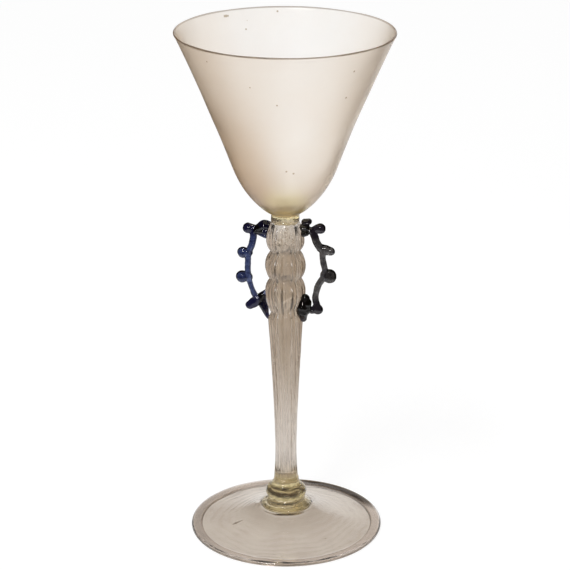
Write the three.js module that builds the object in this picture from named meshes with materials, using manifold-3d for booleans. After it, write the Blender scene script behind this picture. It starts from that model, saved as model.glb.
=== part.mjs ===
// Winged goblet: a drinking glass blown and worked at the furnace, in millimetres, +Z up.
// The origin is on the axis of the glass, at the table that the folded foot stands on.
// The two wings lie in the XZ plane, the left one towards -X and the right one towards +X.
import * as THREE from 'three';
import { mergeVertices } from 'three/addons/utils/BufferGeometryUtils.js';
import Module from 'manifold-3d';

// Foot: a shallow cone of thin glass with its edge folded under into a flat hem
const footRadius = 46.9;
const footHeight = 11.5;
const footWall = 1.2;
const footCore = 3;
const foldWidth = 5.4;
const foldGap = 0.6;

// Mark left under the foot where the working rod was cracked off
const scarRadius = 4.5;
const scarWidth = 1.8;
const scarHeight = 0.5;

// Foot collar: the disc of greenish glass that joins the ring to the foot
const footCollarHeight = 4.5;
const footCollarRadius = 12.6;
const footCollarTopRadius = 9;

// Ring: the round knop under the stem, drawn up to a neck
const ringHeight = 10.2;
const ringRadius = 10;
const ringRoll = 2.9;
const ringNeckRadius = 5.9;

// Stem: one mould-blown ribbed tube, a long tapering shaft below and three bulbs above
const shaftLength = 82.5;
const shaftBaseRadius = 5.7;
const shaftNarrowRadius = 4.95;
const shaftNarrowHeight = 16.5;
const shoulderRadius = 8.15;
const shoulderFall = 5.5;
const shoulderNeckRadius = 7;
const lowerBulb = { radius: 9.4, rise: 9.5, fall: 6, neck: 7.3 };
const middleBulb = { radius: 9.45, rise: 6.5, fall: 7.3, neck: 6.7 };
const upperBulb = { radius: 8.85, rise: 5.2, fall: 9.5, neck: 6.5 };
const stemWall = 1.9;
const ribCount = 16;
const ribDepth = 0.7;
const ribTwist = 14;
const ribFade = 4;

// Bowl collar: the short greenish neck between the stem and the bowl
const bowlCollarHeight = 4;
const bowlCollarSwell = 0.4;

// Bowl: a thin flaring cone on a rounded base, with its slopes as radius gained for each height
const bowlHeight = 87.8;
const bowlRimRadius = 51.4;
const bowlWall = 1.2;
const bowlCore = 2.9;
const bowlBaseRadius = 6.9;
const bellyHeight = 22.5;
const bellyRadius = 24.4;
const bellySlope = 0.37;
const rimSlope = 0.455;

// Wings: a pad of dark blue glass at each end, and between them a thread pinched into lobes.
// They are drawn in steps: so many from the shoulder's neck up to the upper bulb's widest place,
// and each as long as wingStep out from the stem and in a lump's radius
const wingSteps = 34.5;
const wingStep = 1;
const threadRadius = 1.5;
const lobeFlatness = 0.85;
const upperPadWidth = 6;
const lowerPadWidth = 8;
const lowerPadSkew = 2;
const seatClearance = 0.3;

// Facets
const roundSides = 48;
const collarSides = 32;
const sidesPerRib = 3;
const threadSides = 8;
const threadSteps = 26;
const lobeSides = 10;
const padSides = 12;

// Heights in the stem's own frame, from its lower end
const shoulderAt = shaftLength;
const shoulderNeckAt = shoulderAt + shoulderFall;
const lowerBulbAt = shoulderNeckAt + lowerBulb.rise;
const lowerNeckAt = lowerBulbAt + lowerBulb.fall;
const middleBulbAt = lowerNeckAt + middleBulb.rise;
const middleNeckAt = middleBulbAt + middleBulb.fall;
const upperBulbAt = middleNeckAt + upperBulb.rise;
const stemLength = upperBulbAt + upperBulb.fall;

const wasm = await Module();
wasm.setup();

const point = (radius, height) => new THREE.Vector2(radius, height);

// Merges shared vertices and drops the flat triangles at a pole
function weld(geometry) {
  const bare = geometry.clone();
  bare.deleteAttribute('normal');
  bare.deleteAttribute('uv');
  const welded = mergeVertices(bare);
  const index = welded.index.array;
  const kept = [];
  for (let i = 0; i < index.length; i += 3) {
    const [a, b, c] = [index[i], index[i + 1], index[i + 2]];
    if (a !== b && b !== c && c !== a) kept.push(a, b, c);
  }
  welded.setIndex(kept);
  welded.computeVertexNormals();
  return welded;
}

function toSolid(geometry) {
  const welded = weld(geometry);
  return new wasm.Manifold(new wasm.Mesh({
    numProp: 3,
    vertProperties: Float32Array.from(welded.attributes.position.array),
    triVerts: Uint32Array.from(welded.index.array),
  }));
}

function toGeometry(solid) {
  const mesh = solid.getMesh();
  const geometry = new THREE.BufferGeometry();
  geometry.setAttribute('position', new THREE.BufferAttribute(mesh.vertProperties, 3));
  geometry.setIndex(new THREE.BufferAttribute(mesh.triVerts, 1));
  geometry.computeVertexNormals();
  return geometry;
}

// Turns a profile of radius and height round the Z axis
function revolve(profile, sides) {
  const geometry = new THREE.LatheGeometry(profile, sides);
  geometry.rotateX(Math.PI / 2);
  return weld(geometry);
}

// Points of an arc, with the angles in degrees from straight outwards
function arc(centre, radius, from, to, steps) {
  const points = [];
  for (let i = 0; i <= steps; i += 1) {
    const angle = THREE.MathUtils.degToRad(from + (to - from) * i / steps);
    points.push(point(centre.x + radius * Math.cos(angle), centre.y + radius * Math.sin(angle)));
  }
  return points;
}

function bend(start, startPull, endPull, end, steps) {
  return new THREE.CubicBezierCurve(start, startPull, endPull, end).getPoints(steps);
}

// Foot: the underside with its scar, the fold with the slit inside it, and the top
function footGeometry() {
  const hemThickness = 2 * footWall + foldGap;
  const hemInner = footRadius - foldWidth;
  const edge = point(footRadius - hemThickness / 2, hemThickness / 2);
  const hemEnd = point(hemInner + footWall / 2, footWall / 2);
  const rise = footHeight - hemThickness;
  const reach = hemInner - footCollarRadius;
  const underside = footHeight - footCore;
  const slope = (inner, outer, steps) => bend(
    inner,
    point(footCollarRadius + reach * 0.08, inner.y - rise * 0.37),
    point(hemInner - reach / 2, outer.y + rise * 0.09),
    outer, steps);
  const under = slope(
    point(footCollarRadius - footWall, underside), point(hemInner, hemThickness - footWall), 5);
  const top = slope(point(footCollarRadius, footHeight), point(hemInner, hemThickness), 5);
  return revolve([
    point(0, underside),
    point(scarRadius - scarWidth / 2, underside),
    point(scarRadius, underside - scarHeight),
    point(scarRadius + scarWidth / 2, underside),
    ...under,
    ...arc(edge, foldGap / 2, 90, -90, 2),
    ...arc(hemEnd, footWall / 2, 90, 270, 3),
    ...arc(edge, hemThickness / 2, -90, 90, 6),
    ...top.reverse(),
    point(0, footHeight),
  ], roundSides);
}

function footCollarGeometry() {
  const lean = footCollarRadius - footCollarTopRadius;
  const side = bend(
    point(footCollarRadius, 0),
    point(footCollarRadius - lean * 0.1, footCollarHeight * 0.45),
    point(footCollarTopRadius + lean * 0.1, footCollarHeight * 0.55),
    point(footCollarTopRadius, footCollarHeight), 5);
  return revolve([point(0, 0), ...side, point(0, footCollarHeight)], collarSides);
}

// Ring: a round roll that sits on the collar, then a hollow curve up to the stem
function ringGeometry() {
  const centre = point(ringRadius - ringRoll, ringRoll * 0.93);
  const start = -THREE.MathUtils.radToDeg(Math.asin(centre.y / ringRoll));
  const roll = arc(centre, ringRoll, start, 60, 6);
  const top = roll.pop();
  const neck = bend(
    top,
    point(top.x - ringRoll / 2, top.y + ringRoll * 0.28),
    point(ringNeckRadius + 0.3, ringHeight * 0.8),
    point(ringNeckRadius, ringHeight), 3);
  return revolve([point(0, 0), ...roll, ...neck, point(0, ringHeight)], collarSides);
}

// Radius of half a bulb at a share of the way from its widest place to its neck
function bulbArc(radius, neck, share) {
  return radius * Math.sqrt(1 - (1 - (neck / radius) ** 2) * share ** 2);
}

// Outer radius of the stem halfway between ribs and hollows
function stemRadius(height) {
  if (height < shaftNarrowHeight) {
    const share = 1 - height / shaftNarrowHeight;
    return shaftNarrowRadius + (shaftBaseRadius - shaftNarrowRadius) * share ** 2;
  }
  if (height < shoulderAt) {
    const share = (height - shaftNarrowHeight) / (shoulderAt - shaftNarrowHeight);
    return shaftNarrowRadius + (shoulderRadius - shaftNarrowRadius) * share ** 1.45;
  }
  if (height < shoulderNeckAt) {
    return bulbArc(shoulderRadius, shoulderNeckRadius, (height - shoulderAt) / shoulderFall);
  }
  if (height < lowerBulbAt) {
    return bulbArc(lowerBulb.radius, shoulderNeckRadius, (lowerBulbAt - height) / lowerBulb.rise);
  }
  if (height < lowerNeckAt) {
    return bulbArc(lowerBulb.radius, lowerBulb.neck, (height - lowerBulbAt) / lowerBulb.fall);
  }
  if (height < middleBulbAt) {
    return bulbArc(middleBulb.radius, lowerBulb.neck, (middleBulbAt - height) / middleBulb.rise);
  }
  if (height < middleNeckAt) {
    return bulbArc(middleBulb.radius, middleBulb.neck, (height - middleBulbAt) / middleBulb.fall);
  }
  if (height < upperBulbAt) {
    return bulbArc(upperBulb.radius, middleBulb.neck, (upperBulbAt - height) / upperBulb.rise);
  }
  return bulbArc(upperBulb.radius, upperBulb.neck, (height - upperBulbAt) / upperBulb.fall);
}

// The ribs fade out at both ends of the stem and soften in its necks
function ribHeight(height) {
  const necks = [shoulderNeckAt, lowerNeckAt, middleNeckAt].map((neck) => Math.abs(height - neck));
  const atEnds = THREE.MathUtils.clamp(Math.min(height, stemLength - height) / ribFade, 0, 1);
  const atNecks = THREE.MathUtils.clamp(Math.min(...necks) / ribFade, 0.4, 1);
  return ribDepth / 2 * atEnds * atNecks;
}

// The mould's ribs were wrung a little while the shaft was drawn out
function ribTurn(height) {
  return THREE.MathUtils.degToRad(ribTwist) * (1 - THREE.MathUtils.smoothstep(height, 0, shoulderAt));
}

// Heights of the rings of points, closer together where the outline is round
function stemHeights(shaftSteps, bulbSteps) {
  const stretches = [
    [0, 1],
    [ribFade, 1],
    [shaftNarrowHeight, shaftSteps],
    [shoulderAt - ribFade, 1],
    [shoulderAt, Math.ceil(bulbSteps / 2)],
    [shoulderNeckAt, bulbSteps],
    [lowerBulbAt, bulbSteps],
    [lowerNeckAt, bulbSteps],
    [middleBulbAt, bulbSteps],
    [middleNeckAt, bulbSteps],
    [upperBulbAt, bulbSteps + 1],
  ];
  const heights = [];
  stretches.forEach(([from, steps], i) => {
    const to = i + 1 < stretches.length ? stretches[i + 1][0] : stemLength;
    for (let step = 0; step < steps; step += 1) heights.push(from + (to - from) * step / steps);
  });
  return [...heights, stemLength];
}

// One closed tube: up the ribbed outside, over the top and down the plain bore
function stemGeometry() {
  const sides = ribCount * sidesPerRib;
  const outside = stemHeights(4, 3).map((height) => (
    { height, radius: stemRadius(height), rib: ribHeight(height) }));
  const bore = stemHeights(2, 1).reverse().map((height) => (
    { height, radius: stemRadius(height) - stemWall, rib: 0 }));
  const rings = [...outside, ...bore];
  const positions = [];
  const index = [];
  for (const { height, radius, rib } of rings) {
    for (let side = 0; side < sides; side += 1) {
      const angle = 2 * Math.PI * side / sides;
      const reach = radius + rib * Math.cos(ribCount * angle);
      const turned = angle + ribTurn(height);
      positions.push(reach * Math.cos(turned), reach * Math.sin(turned), height);
    }
  }
  for (let ring = 0; ring < rings.length; ring += 1) {
    const row = ring * sides;
    const nextRow = (ring + 1) % rings.length * sides;
    for (let side = 0; side < sides; side += 1) {
      const next = (side + 1) % sides;
      index.push(row + side, row + next, nextRow + next);
      index.push(row + side, nextRow + next, nextRow + side);
    }
  }
  const geometry = new THREE.BufferGeometry();
  geometry.setAttribute('position', new THREE.Float32BufferAttribute(positions, 3));
  geometry.setIndex(index);
  geometry.computeVertexNormals();
  return geometry;
}

function bowlCollarGeometry() {
  const side = bend(
    point(upperBulb.neck, 0),
    point(upperBulb.neck + bowlCollarSwell, bowlCollarHeight / 3),
    point(bowlBaseRadius - bowlCollarSwell, bowlCollarHeight * 2 / 3),
    point(bowlBaseRadius, bowlCollarHeight), 4);
  return revolve([point(0, 0), ...side, point(0, bowlCollarHeight)], collarSides);
}

// The bowl's side from its base to the rim: a round belly, then a cone that flares a little
function bowlSide(start, startPull, inset) {
  const belly = point(bellyRadius - inset, bellyHeight);
  const rim = point(bowlRimRadius - inset, bowlHeight - bowlWall / 2);
  const across = rim.x - rimSlope * rim.y - belly.x + bellySlope * belly.y;
  const crossing = across / (bellySlope - rimSlope);
  const pull = point(belly.x + bellySlope * (crossing - belly.y), crossing);
  const bellyPull = (bellyHeight - start.y) * 0.42;
  const endPull = point(belly.x - bellySlope * bellyPull, belly.y - bellyPull);
  const round = bend(start, startPull, endPull, belly, 7);
  const flare = new THREE.QuadraticBezierCurve(belly, pull, rim).getPoints(3);
  return [...round, ...flare.slice(1)];
}

function bowlGeometry() {
  const outside = bowlSide(
    point(bowlBaseRadius, 0),
    point(bowlBaseRadius + (bellyRadius - bowlBaseRadius) * 0.4, bellyHeight * 0.18), 0);
  const inside = bowlSide(point(0, bowlCore), point(bellyRadius * 0.45, bowlCore), bowlWall);
  const lip = point(bowlRimRadius - bowlWall / 2, bowlHeight - bowlWall / 2);
  return revolve([
    point(0, 0),
    ...outside,
    ...arc(lip, bowlWall / 2, 45, 135, 2),
    ...inside.reverse(),
  ], roundSides);
}

// Height in the stem's frame of so many steps of the wing drawing
function wingHeight(steps) {
  return shoulderNeckAt + steps * (upperBulbAt - shoulderNeckAt) / wingSteps;
}

// A place of the wing plane, so many steps out from the ribs of the widest bulb
function beyondBulbs(out, up) {
  const widest = Math.max(lowerBulb.radius, middleBulb.radius, upperBulb.radius);
  return point(widest + ribDepth / 2 + out * wingStep, wingHeight(up));
}

// A place of the wing plane, so many steps out from the stem's own surface there
function onStem(out, up) {
  const level = wingHeight(up);
  return point(stemRadius(level) + ribHeight(level) + out * wingStep, level);
}

// The left wing: how far out its pads end, the run of its thread, and where it is pinched
const leftWing = {
  side: -1,
  upperJoint: beyondBulbs(3.4, 38.9).x,
  lowerJoint: beyondBulbs(2, 3.4).x,
  thread: [
    beyondBulbs(2.4, 38.9),
    beyondBulbs(5, 37.4),
    beyondBulbs(6, 32.4),
    beyondBulbs(7.3, 28.8),
    beyondBulbs(8.3, 24.5),
    beyondBulbs(8.2, 17),
    beyondBulbs(6.3, 10),
    beyondBulbs(4.8, 6.4),
    beyondBulbs(3.2, 3.9),
    beyondBulbs(1, 3.3),
  ],
  lobes: [
    { root: beyondBulbs(5, 37.8), tip: beyondBulbs(8.4, 39), radius: 2.7 },
    { root: beyondBulbs(7.8, 27.2), tip: beyondBulbs(11.1, 26.9), radius: 2.7 },
    { root: beyondBulbs(8, 15.2), tip: beyondBulbs(11.4, 14.8), radius: 2.9 },
    { root: beyondBulbs(3.2, 4), tip: beyondBulbs(6.9, 1.2), radius: 2.9 },
  ],
  upperPad: [
    { from: onStem(-1, 42.8), to: beyondBulbs(3, 40.3), radius: 2.2 },
    { from: onStem(-1, 39), to: beyondBulbs(3.8, 38.9), radius: 2.1 },
    { from: onStem(-1, 36), to: beyondBulbs(3, 37.6), radius: 2 },
  ],
  lowerPad: [
    { from: onStem(0.3, -4.2), to: onStem(0.2, 3), radius: 2 },
    { from: onStem(-0.5, 7.6), to: beyondBulbs(2.4, 3.6), radius: 1.8 },
  ],
};

// The right wing, drawn a little lower at its foot and pinched into longer lobes
const rightWing = {
  side: 1,
  upperJoint: beyondBulbs(2.6, 40).x,
  lowerJoint: beyondBulbs(2.2, 0.1).x,
  thread: [
    beyondBulbs(1.6, 39.9),
    beyondBulbs(4, 40.4),
    beyondBulbs(5.1, 37),
    beyondBulbs(6.9, 32.6),
    beyondBulbs(8.9, 30),
    beyondBulbs(8.7, 24.5),
    beyondBulbs(9.8, 18.7),
    beyondBulbs(6.5, 13),
    beyondBulbs(5.2, 7.5),
    beyondBulbs(5.5, 2.9),
    beyondBulbs(5, 0.4),
    beyondBulbs(1, 0.2),
  ],
  lobes: [
    { root: beyondBulbs(4.4, 40), tip: beyondBulbs(7.4, 41.6), radius: 2.5 },
    { root: beyondBulbs(8.2, 31.4), tip: beyondBulbs(12.1, 30.5), radius: 2.4 },
    { root: beyondBulbs(9.6, 18.8), tip: beyondBulbs(11.7, 18.1), radius: 3.5 },
    { root: beyondBulbs(5.3, 2.2), tip: beyondBulbs(6.5, 0.7), radius: 2.5 },
  ],
  upperPad: [
    { from: onStem(0, 43.7), to: beyondBulbs(1.9, 44.5), radius: 1.5 },
    { from: onStem(-1, 41), to: beyondBulbs(2.4, 40), radius: 2 },
    { from: onStem(-1, 38), to: beyondBulbs(0.4, 37.7), radius: 1.8 },
  ],
  lowerPad: [
    { from: onStem(0.4, -3.9), to: onStem(0.1, 6.1), radius: 2.8 },
    { from: onStem(1.5, 0.1), to: beyondBulbs(2.6, 0.1), radius: 1.9 },
  ],
};

// The space of the stem and the bowl collar, with the clearance that a pad keeps from them
function stemSeat() {
  const grown = stemHeights(6, 3).map((height) => (
    point(stemRadius(height) + ribHeight(height) + seatClearance, height)));
  const neck = bowlBaseRadius + seatClearance;
  const top = stemLength + bowlCollarHeight;
  const collar = [point(neck, stemLength), point(neck, top), point(0, top)];
  return toSolid(revolve([point(0, 0), ...grown, ...collar], roundSides));
}

// The space on the stem's side of a joint of the wing, or past it, in its upper or lower half
function jointSide(wing, joint, past, upper) {
  const size = stemLength;
  const block = new THREE.BoxGeometry(size, size, size);
  const middle = (shoulderNeckAt + upperBulbAt) / 2;
  const shift = past ? joint + size / 2 : joint - size / 2;
  block.translate(wing.side * shift, 0, upper ? middle + size / 2 : middle - size / 2);
  return toSolid(block);
}

// A pad: eggs of hot glass pressed together, seated on the stem and ended flat at the thread
function padGeometry(wing, eggs, joint, upper) {
  const width = upper ? upperPadWidth : lowerPadWidth;
  const skew = upper ? 0 : -wing.side * lowerPadSkew;
  const solids = eggs.map(({ from, to, radius }) => {
    const egg = new THREE.SphereGeometry(1, padSides, 7);
    const eggRadius = radius * wingStep;
    egg.scale(from.distanceTo(to) / 2 + eggRadius, width / 2, eggRadius);
    egg.rotateY(-Math.atan2(to.y - from.y, wing.side * (to.x - from.x)));
    egg.translate(wing.side * (from.x + to.x) / 2, skew, (from.y + to.y) / 2);
    return toSolid(egg);
  });
  const pressed = solids.reduce((joined, solid) => joined.add(solid));
  return toGeometry(pressed.subtract(stemSeat()).subtract(jointSide(wing, joint, true, upper)));
}

// A pinched lobe: a short neck that ends in a ball, flattened by the tongs
function lobeSolid(wing, { root, tip, radius }) {
  const ballRadius = radius * wingStep;
  const neck = Math.min(threadRadius, ballRadius * 0.8);
  const start = -THREE.MathUtils.radToDeg(Math.acos(neck / ballRadius));
  const ball = arc(point(0, root.distanceTo(tip)), ballRadius, start, 90, 5);
  ball.pop();
  const end = point(0, root.distanceTo(tip) + ballRadius);
  const geometry = new THREE.LatheGeometry([point(0, 0), point(neck, 0), ...ball, end], lobeSides);
  geometry.scale(1, 1, lobeFlatness);
  geometry.rotateX(Math.PI / 2);
  geometry.rotateY(wing.side * Math.atan2(tip.x - root.x, tip.y - root.y));
  geometry.translate(wing.side * root.x, 0, root.y);
  return toSolid(geometry);
}

// The thread along its run with its lobes, ended flat at the two pads
function trailGeometry(wing) {
  const route = wing.thread.map(({ x, y }) => new THREE.Vector3(wing.side * x, 0, y));
  const section = new THREE.Shape().absarc(0, 0, threadRadius, 0, 2 * Math.PI);
  const thread = new THREE.ExtrudeGeometry(section, {
    steps: threadSteps,
    curveSegments: threadSides / 2,
    extrudePath: new THREE.CatmullRomCurve3(route, false, 'centripetal'),
  });
  const lobes = wing.lobes.map((lobe) => lobeSolid(wing, lobe));
  const pinched = lobes.reduce((joined, solid) => joined.add(solid), toSolid(thread));
  const clear = pinched.subtract(jointSide(wing, wing.upperJoint, false, true));
  return toGeometry(clear.subtract(jointSide(wing, wing.lowerJoint, false, false)));
}

function piece(name, geometry, color, roughness) {
  const material = new THREE.MeshStandardMaterial({ color, roughness, metalness: 0 });
  const mesh = new THREE.Mesh(geometry, material);
  mesh.name = name;
  return mesh;
}

function wingGroup(name, wing) {
  const group = new THREE.Group();
  group.add(
    piece(`${name}_trail`, trailGeometry(wing), 0x23264a, 0.08),
    piece(`${name}_upper_pad`, padGeometry(wing, wing.upperPad, wing.upperJoint, true), 0x1d1f38, 0.1),
    piece(`${name}_lower_pad`, padGeometry(wing, wing.lowerPad, wing.lowerJoint, false), 0x1b2430, 0.1));
  return group;
}

// Stacks the pieces from the foot up, each on the flat top of the one below
function goblet() {
  const foot = piece('foot', footGeometry(), 0xbdb2a4, 0.14);
  const footCollar = piece('foot_collar', footCollarGeometry(), 0xa39c66, 0.1);
  footCollar.position.z = footHeight;
  const ring = piece('stem_ring', ringGeometry(), 0xa8956f, 0.1);
  ring.position.z = footCollar.position.z + footCollarHeight;

  const stem = new THREE.Group();
  stem.position.z = ring.position.z + ringHeight;
  stem.add(
    piece('stem', stemGeometry(), 0xa8977f, 0.12),
    wingGroup('wing_left', leftWing),
    wingGroup('wing_right', rightWing));

  const bowlCollar = piece('bowl_collar', bowlCollarGeometry(), 0xb3a768, 0.1);
  bowlCollar.position.z = stem.position.z + stemLength;
  const bowl = piece('bowl', bowlGeometry(), 0xd8c9b4, 0.16);
  bowl.position.z = bowlCollar.position.z + bowlCollarHeight;

  const whole = new THREE.Group();
  whole.add(foot, footCollar, ring, stem, bowlCollar, bowl);
  return whole;
}

export default goblet();
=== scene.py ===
"""Winged goblet: a blown drinking glass, modelled piece by piece on its construction frame."""
import math

import bmesh
import bpy
from bpy.props import FloatProperty, FloatVectorProperty, IntProperty, PointerProperty
from mathutils import Euler, Matrix, Vector


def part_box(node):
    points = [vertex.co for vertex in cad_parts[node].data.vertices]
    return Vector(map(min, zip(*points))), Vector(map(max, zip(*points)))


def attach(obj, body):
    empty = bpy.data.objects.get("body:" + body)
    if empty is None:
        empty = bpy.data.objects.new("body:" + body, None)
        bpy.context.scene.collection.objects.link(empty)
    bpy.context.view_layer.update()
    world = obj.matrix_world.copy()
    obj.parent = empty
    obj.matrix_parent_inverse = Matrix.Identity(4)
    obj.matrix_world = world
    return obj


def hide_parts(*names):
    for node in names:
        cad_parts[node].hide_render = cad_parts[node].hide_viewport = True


bl_info = {
    "name": "Winged Goblet",
    "version": (1, 0, 0),
    "blender": (4, 5, 0),
    "location": "3D View > Sidebar > Goblet",
    "description": "A blown goblet with a ribbed stem, pinched blue wings and a folded foot",
    "category": "Add Mesh",
}

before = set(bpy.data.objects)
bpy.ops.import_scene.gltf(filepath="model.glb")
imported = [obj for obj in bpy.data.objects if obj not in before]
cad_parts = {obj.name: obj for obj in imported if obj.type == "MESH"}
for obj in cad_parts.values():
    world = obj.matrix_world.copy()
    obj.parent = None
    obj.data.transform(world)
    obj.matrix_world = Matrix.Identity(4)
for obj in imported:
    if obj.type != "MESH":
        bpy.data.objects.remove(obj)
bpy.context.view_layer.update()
MM = 0.001

# Levels and radii that the frame gives, in metres
FOOT_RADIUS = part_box("foot")[1].x
FOOT_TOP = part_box("foot")[1].z
FOOT_COLLAR_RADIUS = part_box("foot_collar")[1].x
RING_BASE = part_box("stem_ring")[0].z
RING_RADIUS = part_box("stem_ring")[1].x
STEM_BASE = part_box("stem")[0].z
STEM_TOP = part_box("stem")[1].z
STEM_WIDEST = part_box("stem")[1].x
BOWL_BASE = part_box("bowl")[0].z
RIM_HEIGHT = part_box("bowl")[1].z
RIM_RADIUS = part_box("bowl")[1].x

# Stem: places above its lower end and outer radii, up to the crests of its ribs
SHAFT_BASE_RADIUS = 5.85 * MM
SHAFT_NARROW_RADIUS = 5.25 * MM
SHAFT_NARROW = 16.5 * MM
SHOULDER = 82.5 * MM
SHOULDER_RADIUS = 8.45 * MM
SHOULDER_NECK = 88 * MM
SHOULDER_NECK_RADIUS = 7.15 * MM
LOWER_BULB = 97.5 * MM
LOWER_BULB_RADIUS = 9.75 * MM
LOWER_NECK = 103.5 * MM
LOWER_NECK_RADIUS = 7.45 * MM
MIDDLE_BULB = 110 * MM
MIDDLE_BULB_RADIUS = 9.8 * MM
MIDDLE_NECK = 117.3 * MM
MIDDLE_NECK_RADIUS = 6.9 * MM
UPPER_BULB = 122.5 * MM
UPPER_BULB_RADIUS = 9.2 * MM
UPPER_NECK_RADIUS = 6.6 * MM

# Outer radius at which the bowl's side starts
BOWL_NECK_RADIUS = 6.9 * MM

# How much of the shaft's widening lies close under the shoulder: 1 spreads it evenly
SHAFT_FLARE = 1.45

# Sides that make one rib and the valley beside it, and how deep their corners lie in the valley
SIDES_PER_RIB = 6
VALLEY_SHARES = (1.0, 0.75, 0.25)

# Sides of the wide turned pieces and of the others
WIDE_SIDES = 128
TURNED_SIDES = 96

# Vertices closer in height than this lie on one ring
SAME_RING = 0.05 * MM

# Radii within which two pieces have melted into each other
FOOT_MELT = FOOT_COLLAR_RADIUS - 1.2 * MM
RING_MELT = 7.6 * MM
STEM_MELT = 5.4 * MM
NECK_MELT = 6.3 * MM
BOWL_MELT = 6.4 * MM


def in_mm(*rows):
    """Rows of numbers given in millimetres, in metres."""
    return tuple(tuple(value * MM for value in row) for row in rows)


# Single dark specks in the glass: place and radius
FOOT_STONES = in_mm(
    (-23.4, -15, 4.8, 0.8), (-22.4, -14.4, 5, 1.2), (-21.5, -13.8, 5.3, 0.9),
    (-20.6, -13.2, 5.6, 0.8), (-19.6, -12.7, 5.9, 0.6))
BOWL_STONES = in_mm(
    (-36.1, 33.2, 247.3, 0.9), (-35.5, 33.8, 247.3, 0.95), (-34.8, 34.4, 247.3, 0.7),
    (-13.5, 47.3, 247.5, 0.7), (-26.8, 37.5, 240.4, 0.65), (5, -40.3, 225.5, 0.6),
    (6.1, -25.8, 190.7, 0.65), (9.1, -24.4, 189.5, 0.7), (37.4, -28.2, 239.6, 0.7),
    (33.1, -24.2, 226.3, 0.7))

# Side on which the foot's fold is given painted shade, nearly black
HEM_SHADED_SIDE = (0.437, 0.9, 0)

# Side on which the bowl and the foot's fold are given painted shade, darker than elsewhere
PAINTED_SHADE_SIDE = (-0.978, -0.208, 0)

# Side on which the bowl's rim is given darker painted shade
RIM_SHADE_SIDE = (-0.208, 0.978, 0)

# Where the upper bulb's wall is crackled and made lighter with painted light: place and radius
LIT_CRIZZLED_PATCHES = in_mm(
    (-0.2, -9.2, 149.7, 4.2), (2.6, -8.8, 154.2, 5.2), (3, -8.3, 157.6, 4.2),
    (4.8, -7.6, 152, 3.6), (-0.3, 5.5, 149, 4.6), (0.4, 6.2, 152.6, 3.6))

# The painted highlight along the crease under the lower bulb, where it was pinched: a plane through
# the stem, its level, the direction along the crease, its middle and half its length
CREASE_PLANE = (0.5703, -0.1871, -0.7998)
CREASE_LEVEL = -94.28 * MM
CREASE_SIDE = (0.978, 0.208, 0)
CREASE_MIDDLE = 0.9 * MM
CREASE_REACH = 3.2 * MM


class GobletSizes(bpy.types.PropertyGroup):
    """Walls and hand-made details of the goblet's pieces"""

    sink: FloatProperty(
        name="Sink", description="How deep a piece is melted into the one below it",
        default=0.4 * MM, unit="LENGTH")
    bowl_wall: FloatProperty(
        name="Bowl wall", description="Thickness of the blown bowl",
        default=0.95 * MM, unit="LENGTH")
    rim_bead: FloatProperty(
        name="Rim bead", description="Thickness of the rim, rounded in the fire",
        default=1.05 * MM, unit="LENGTH")
    bowl_core: FloatProperty(
        name="Bowl core", description="Thickness of the glass at the bottom of the bowl",
        default=1.4 * MM, unit="LENGTH")
    base_slope: FloatProperty(
        name="Base slope", description="Slope of the inside of the bowl's base",
        default=math.radians(16), unit="ROTATION")
    belly_height: FloatProperty(
        name="Belly height", description="Where the bowl's round base turns into its cone",
        default=22.5 * MM, unit="LENGTH")
    belly_radius: FloatProperty(
        name="Belly radius", description="Outer radius of the bowl at that height",
        default=24.4 * MM, unit="LENGTH")
    belly_slope: FloatProperty(
        name="Belly slope", description="Radius gained for each height just above the belly",
        default=0.37)
    rim_slope: FloatProperty(
        name="Rim slope", description="Radius gained for each height at the rim",
        default=0.455)
    rim_lean: FloatProperty(
        name="Rim lean", description="How far the rim leans down to the right",
        default=math.radians(0.32), unit="ROTATION")
    foot_wall: FloatProperty(
        name="Foot wall", description="Thickness of the foot's glass",
        default=1.2 * MM, unit="LENGTH")
    foot_core: FloatProperty(
        name="Foot core", description="Thickness of the foot under its collar",
        default=2 * MM, unit="LENGTH")
    fold_wall: FloatProperty(
        name="Fold wall", description="Thickness of each of the two layers of the folded edge",
        default=1.1 * MM, unit="LENGTH")
    fold_width: FloatProperty(
        name="Fold width", description="How far the foot's edge is folded under",
        default=5.4 * MM, unit="LENGTH")
    fold_gap: FloatProperty(
        name="Fold gap", description="Slit between the two layers of the fold",
        default=0.3 * MM, unit="LENGTH")
    bore_share: FloatProperty(
        name="Bore", description="Radius of the stem's hollow as a share of the stem's own",
        default=0.62)
    rib_count: IntProperty(
        name="Ribs", description="Number of ribs that the mould left on the stem", default=18)
    rib_depth: FloatProperty(
        name="Rib depth", description="Height of a rib as a share of the stem's radius",
        default=0.085)
    rib_twist: FloatProperty(
        name="Rib twist", description="How far the ribs were wrung while the shaft was drawn",
        default=math.radians(13), unit="ROTATION")
    rib_fade: FloatProperty(
        name="Rib fade", description="Length over which the ribs run out at both ends of the stem",
        default=4.5 * MM, unit="LENGTH")
    neck_lean: FloatProperty(
        name="Neck lean", description="Slant of the pinch between the shoulder and the lower bulb",
        default=math.radians(14), unit="ROTATION")


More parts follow.
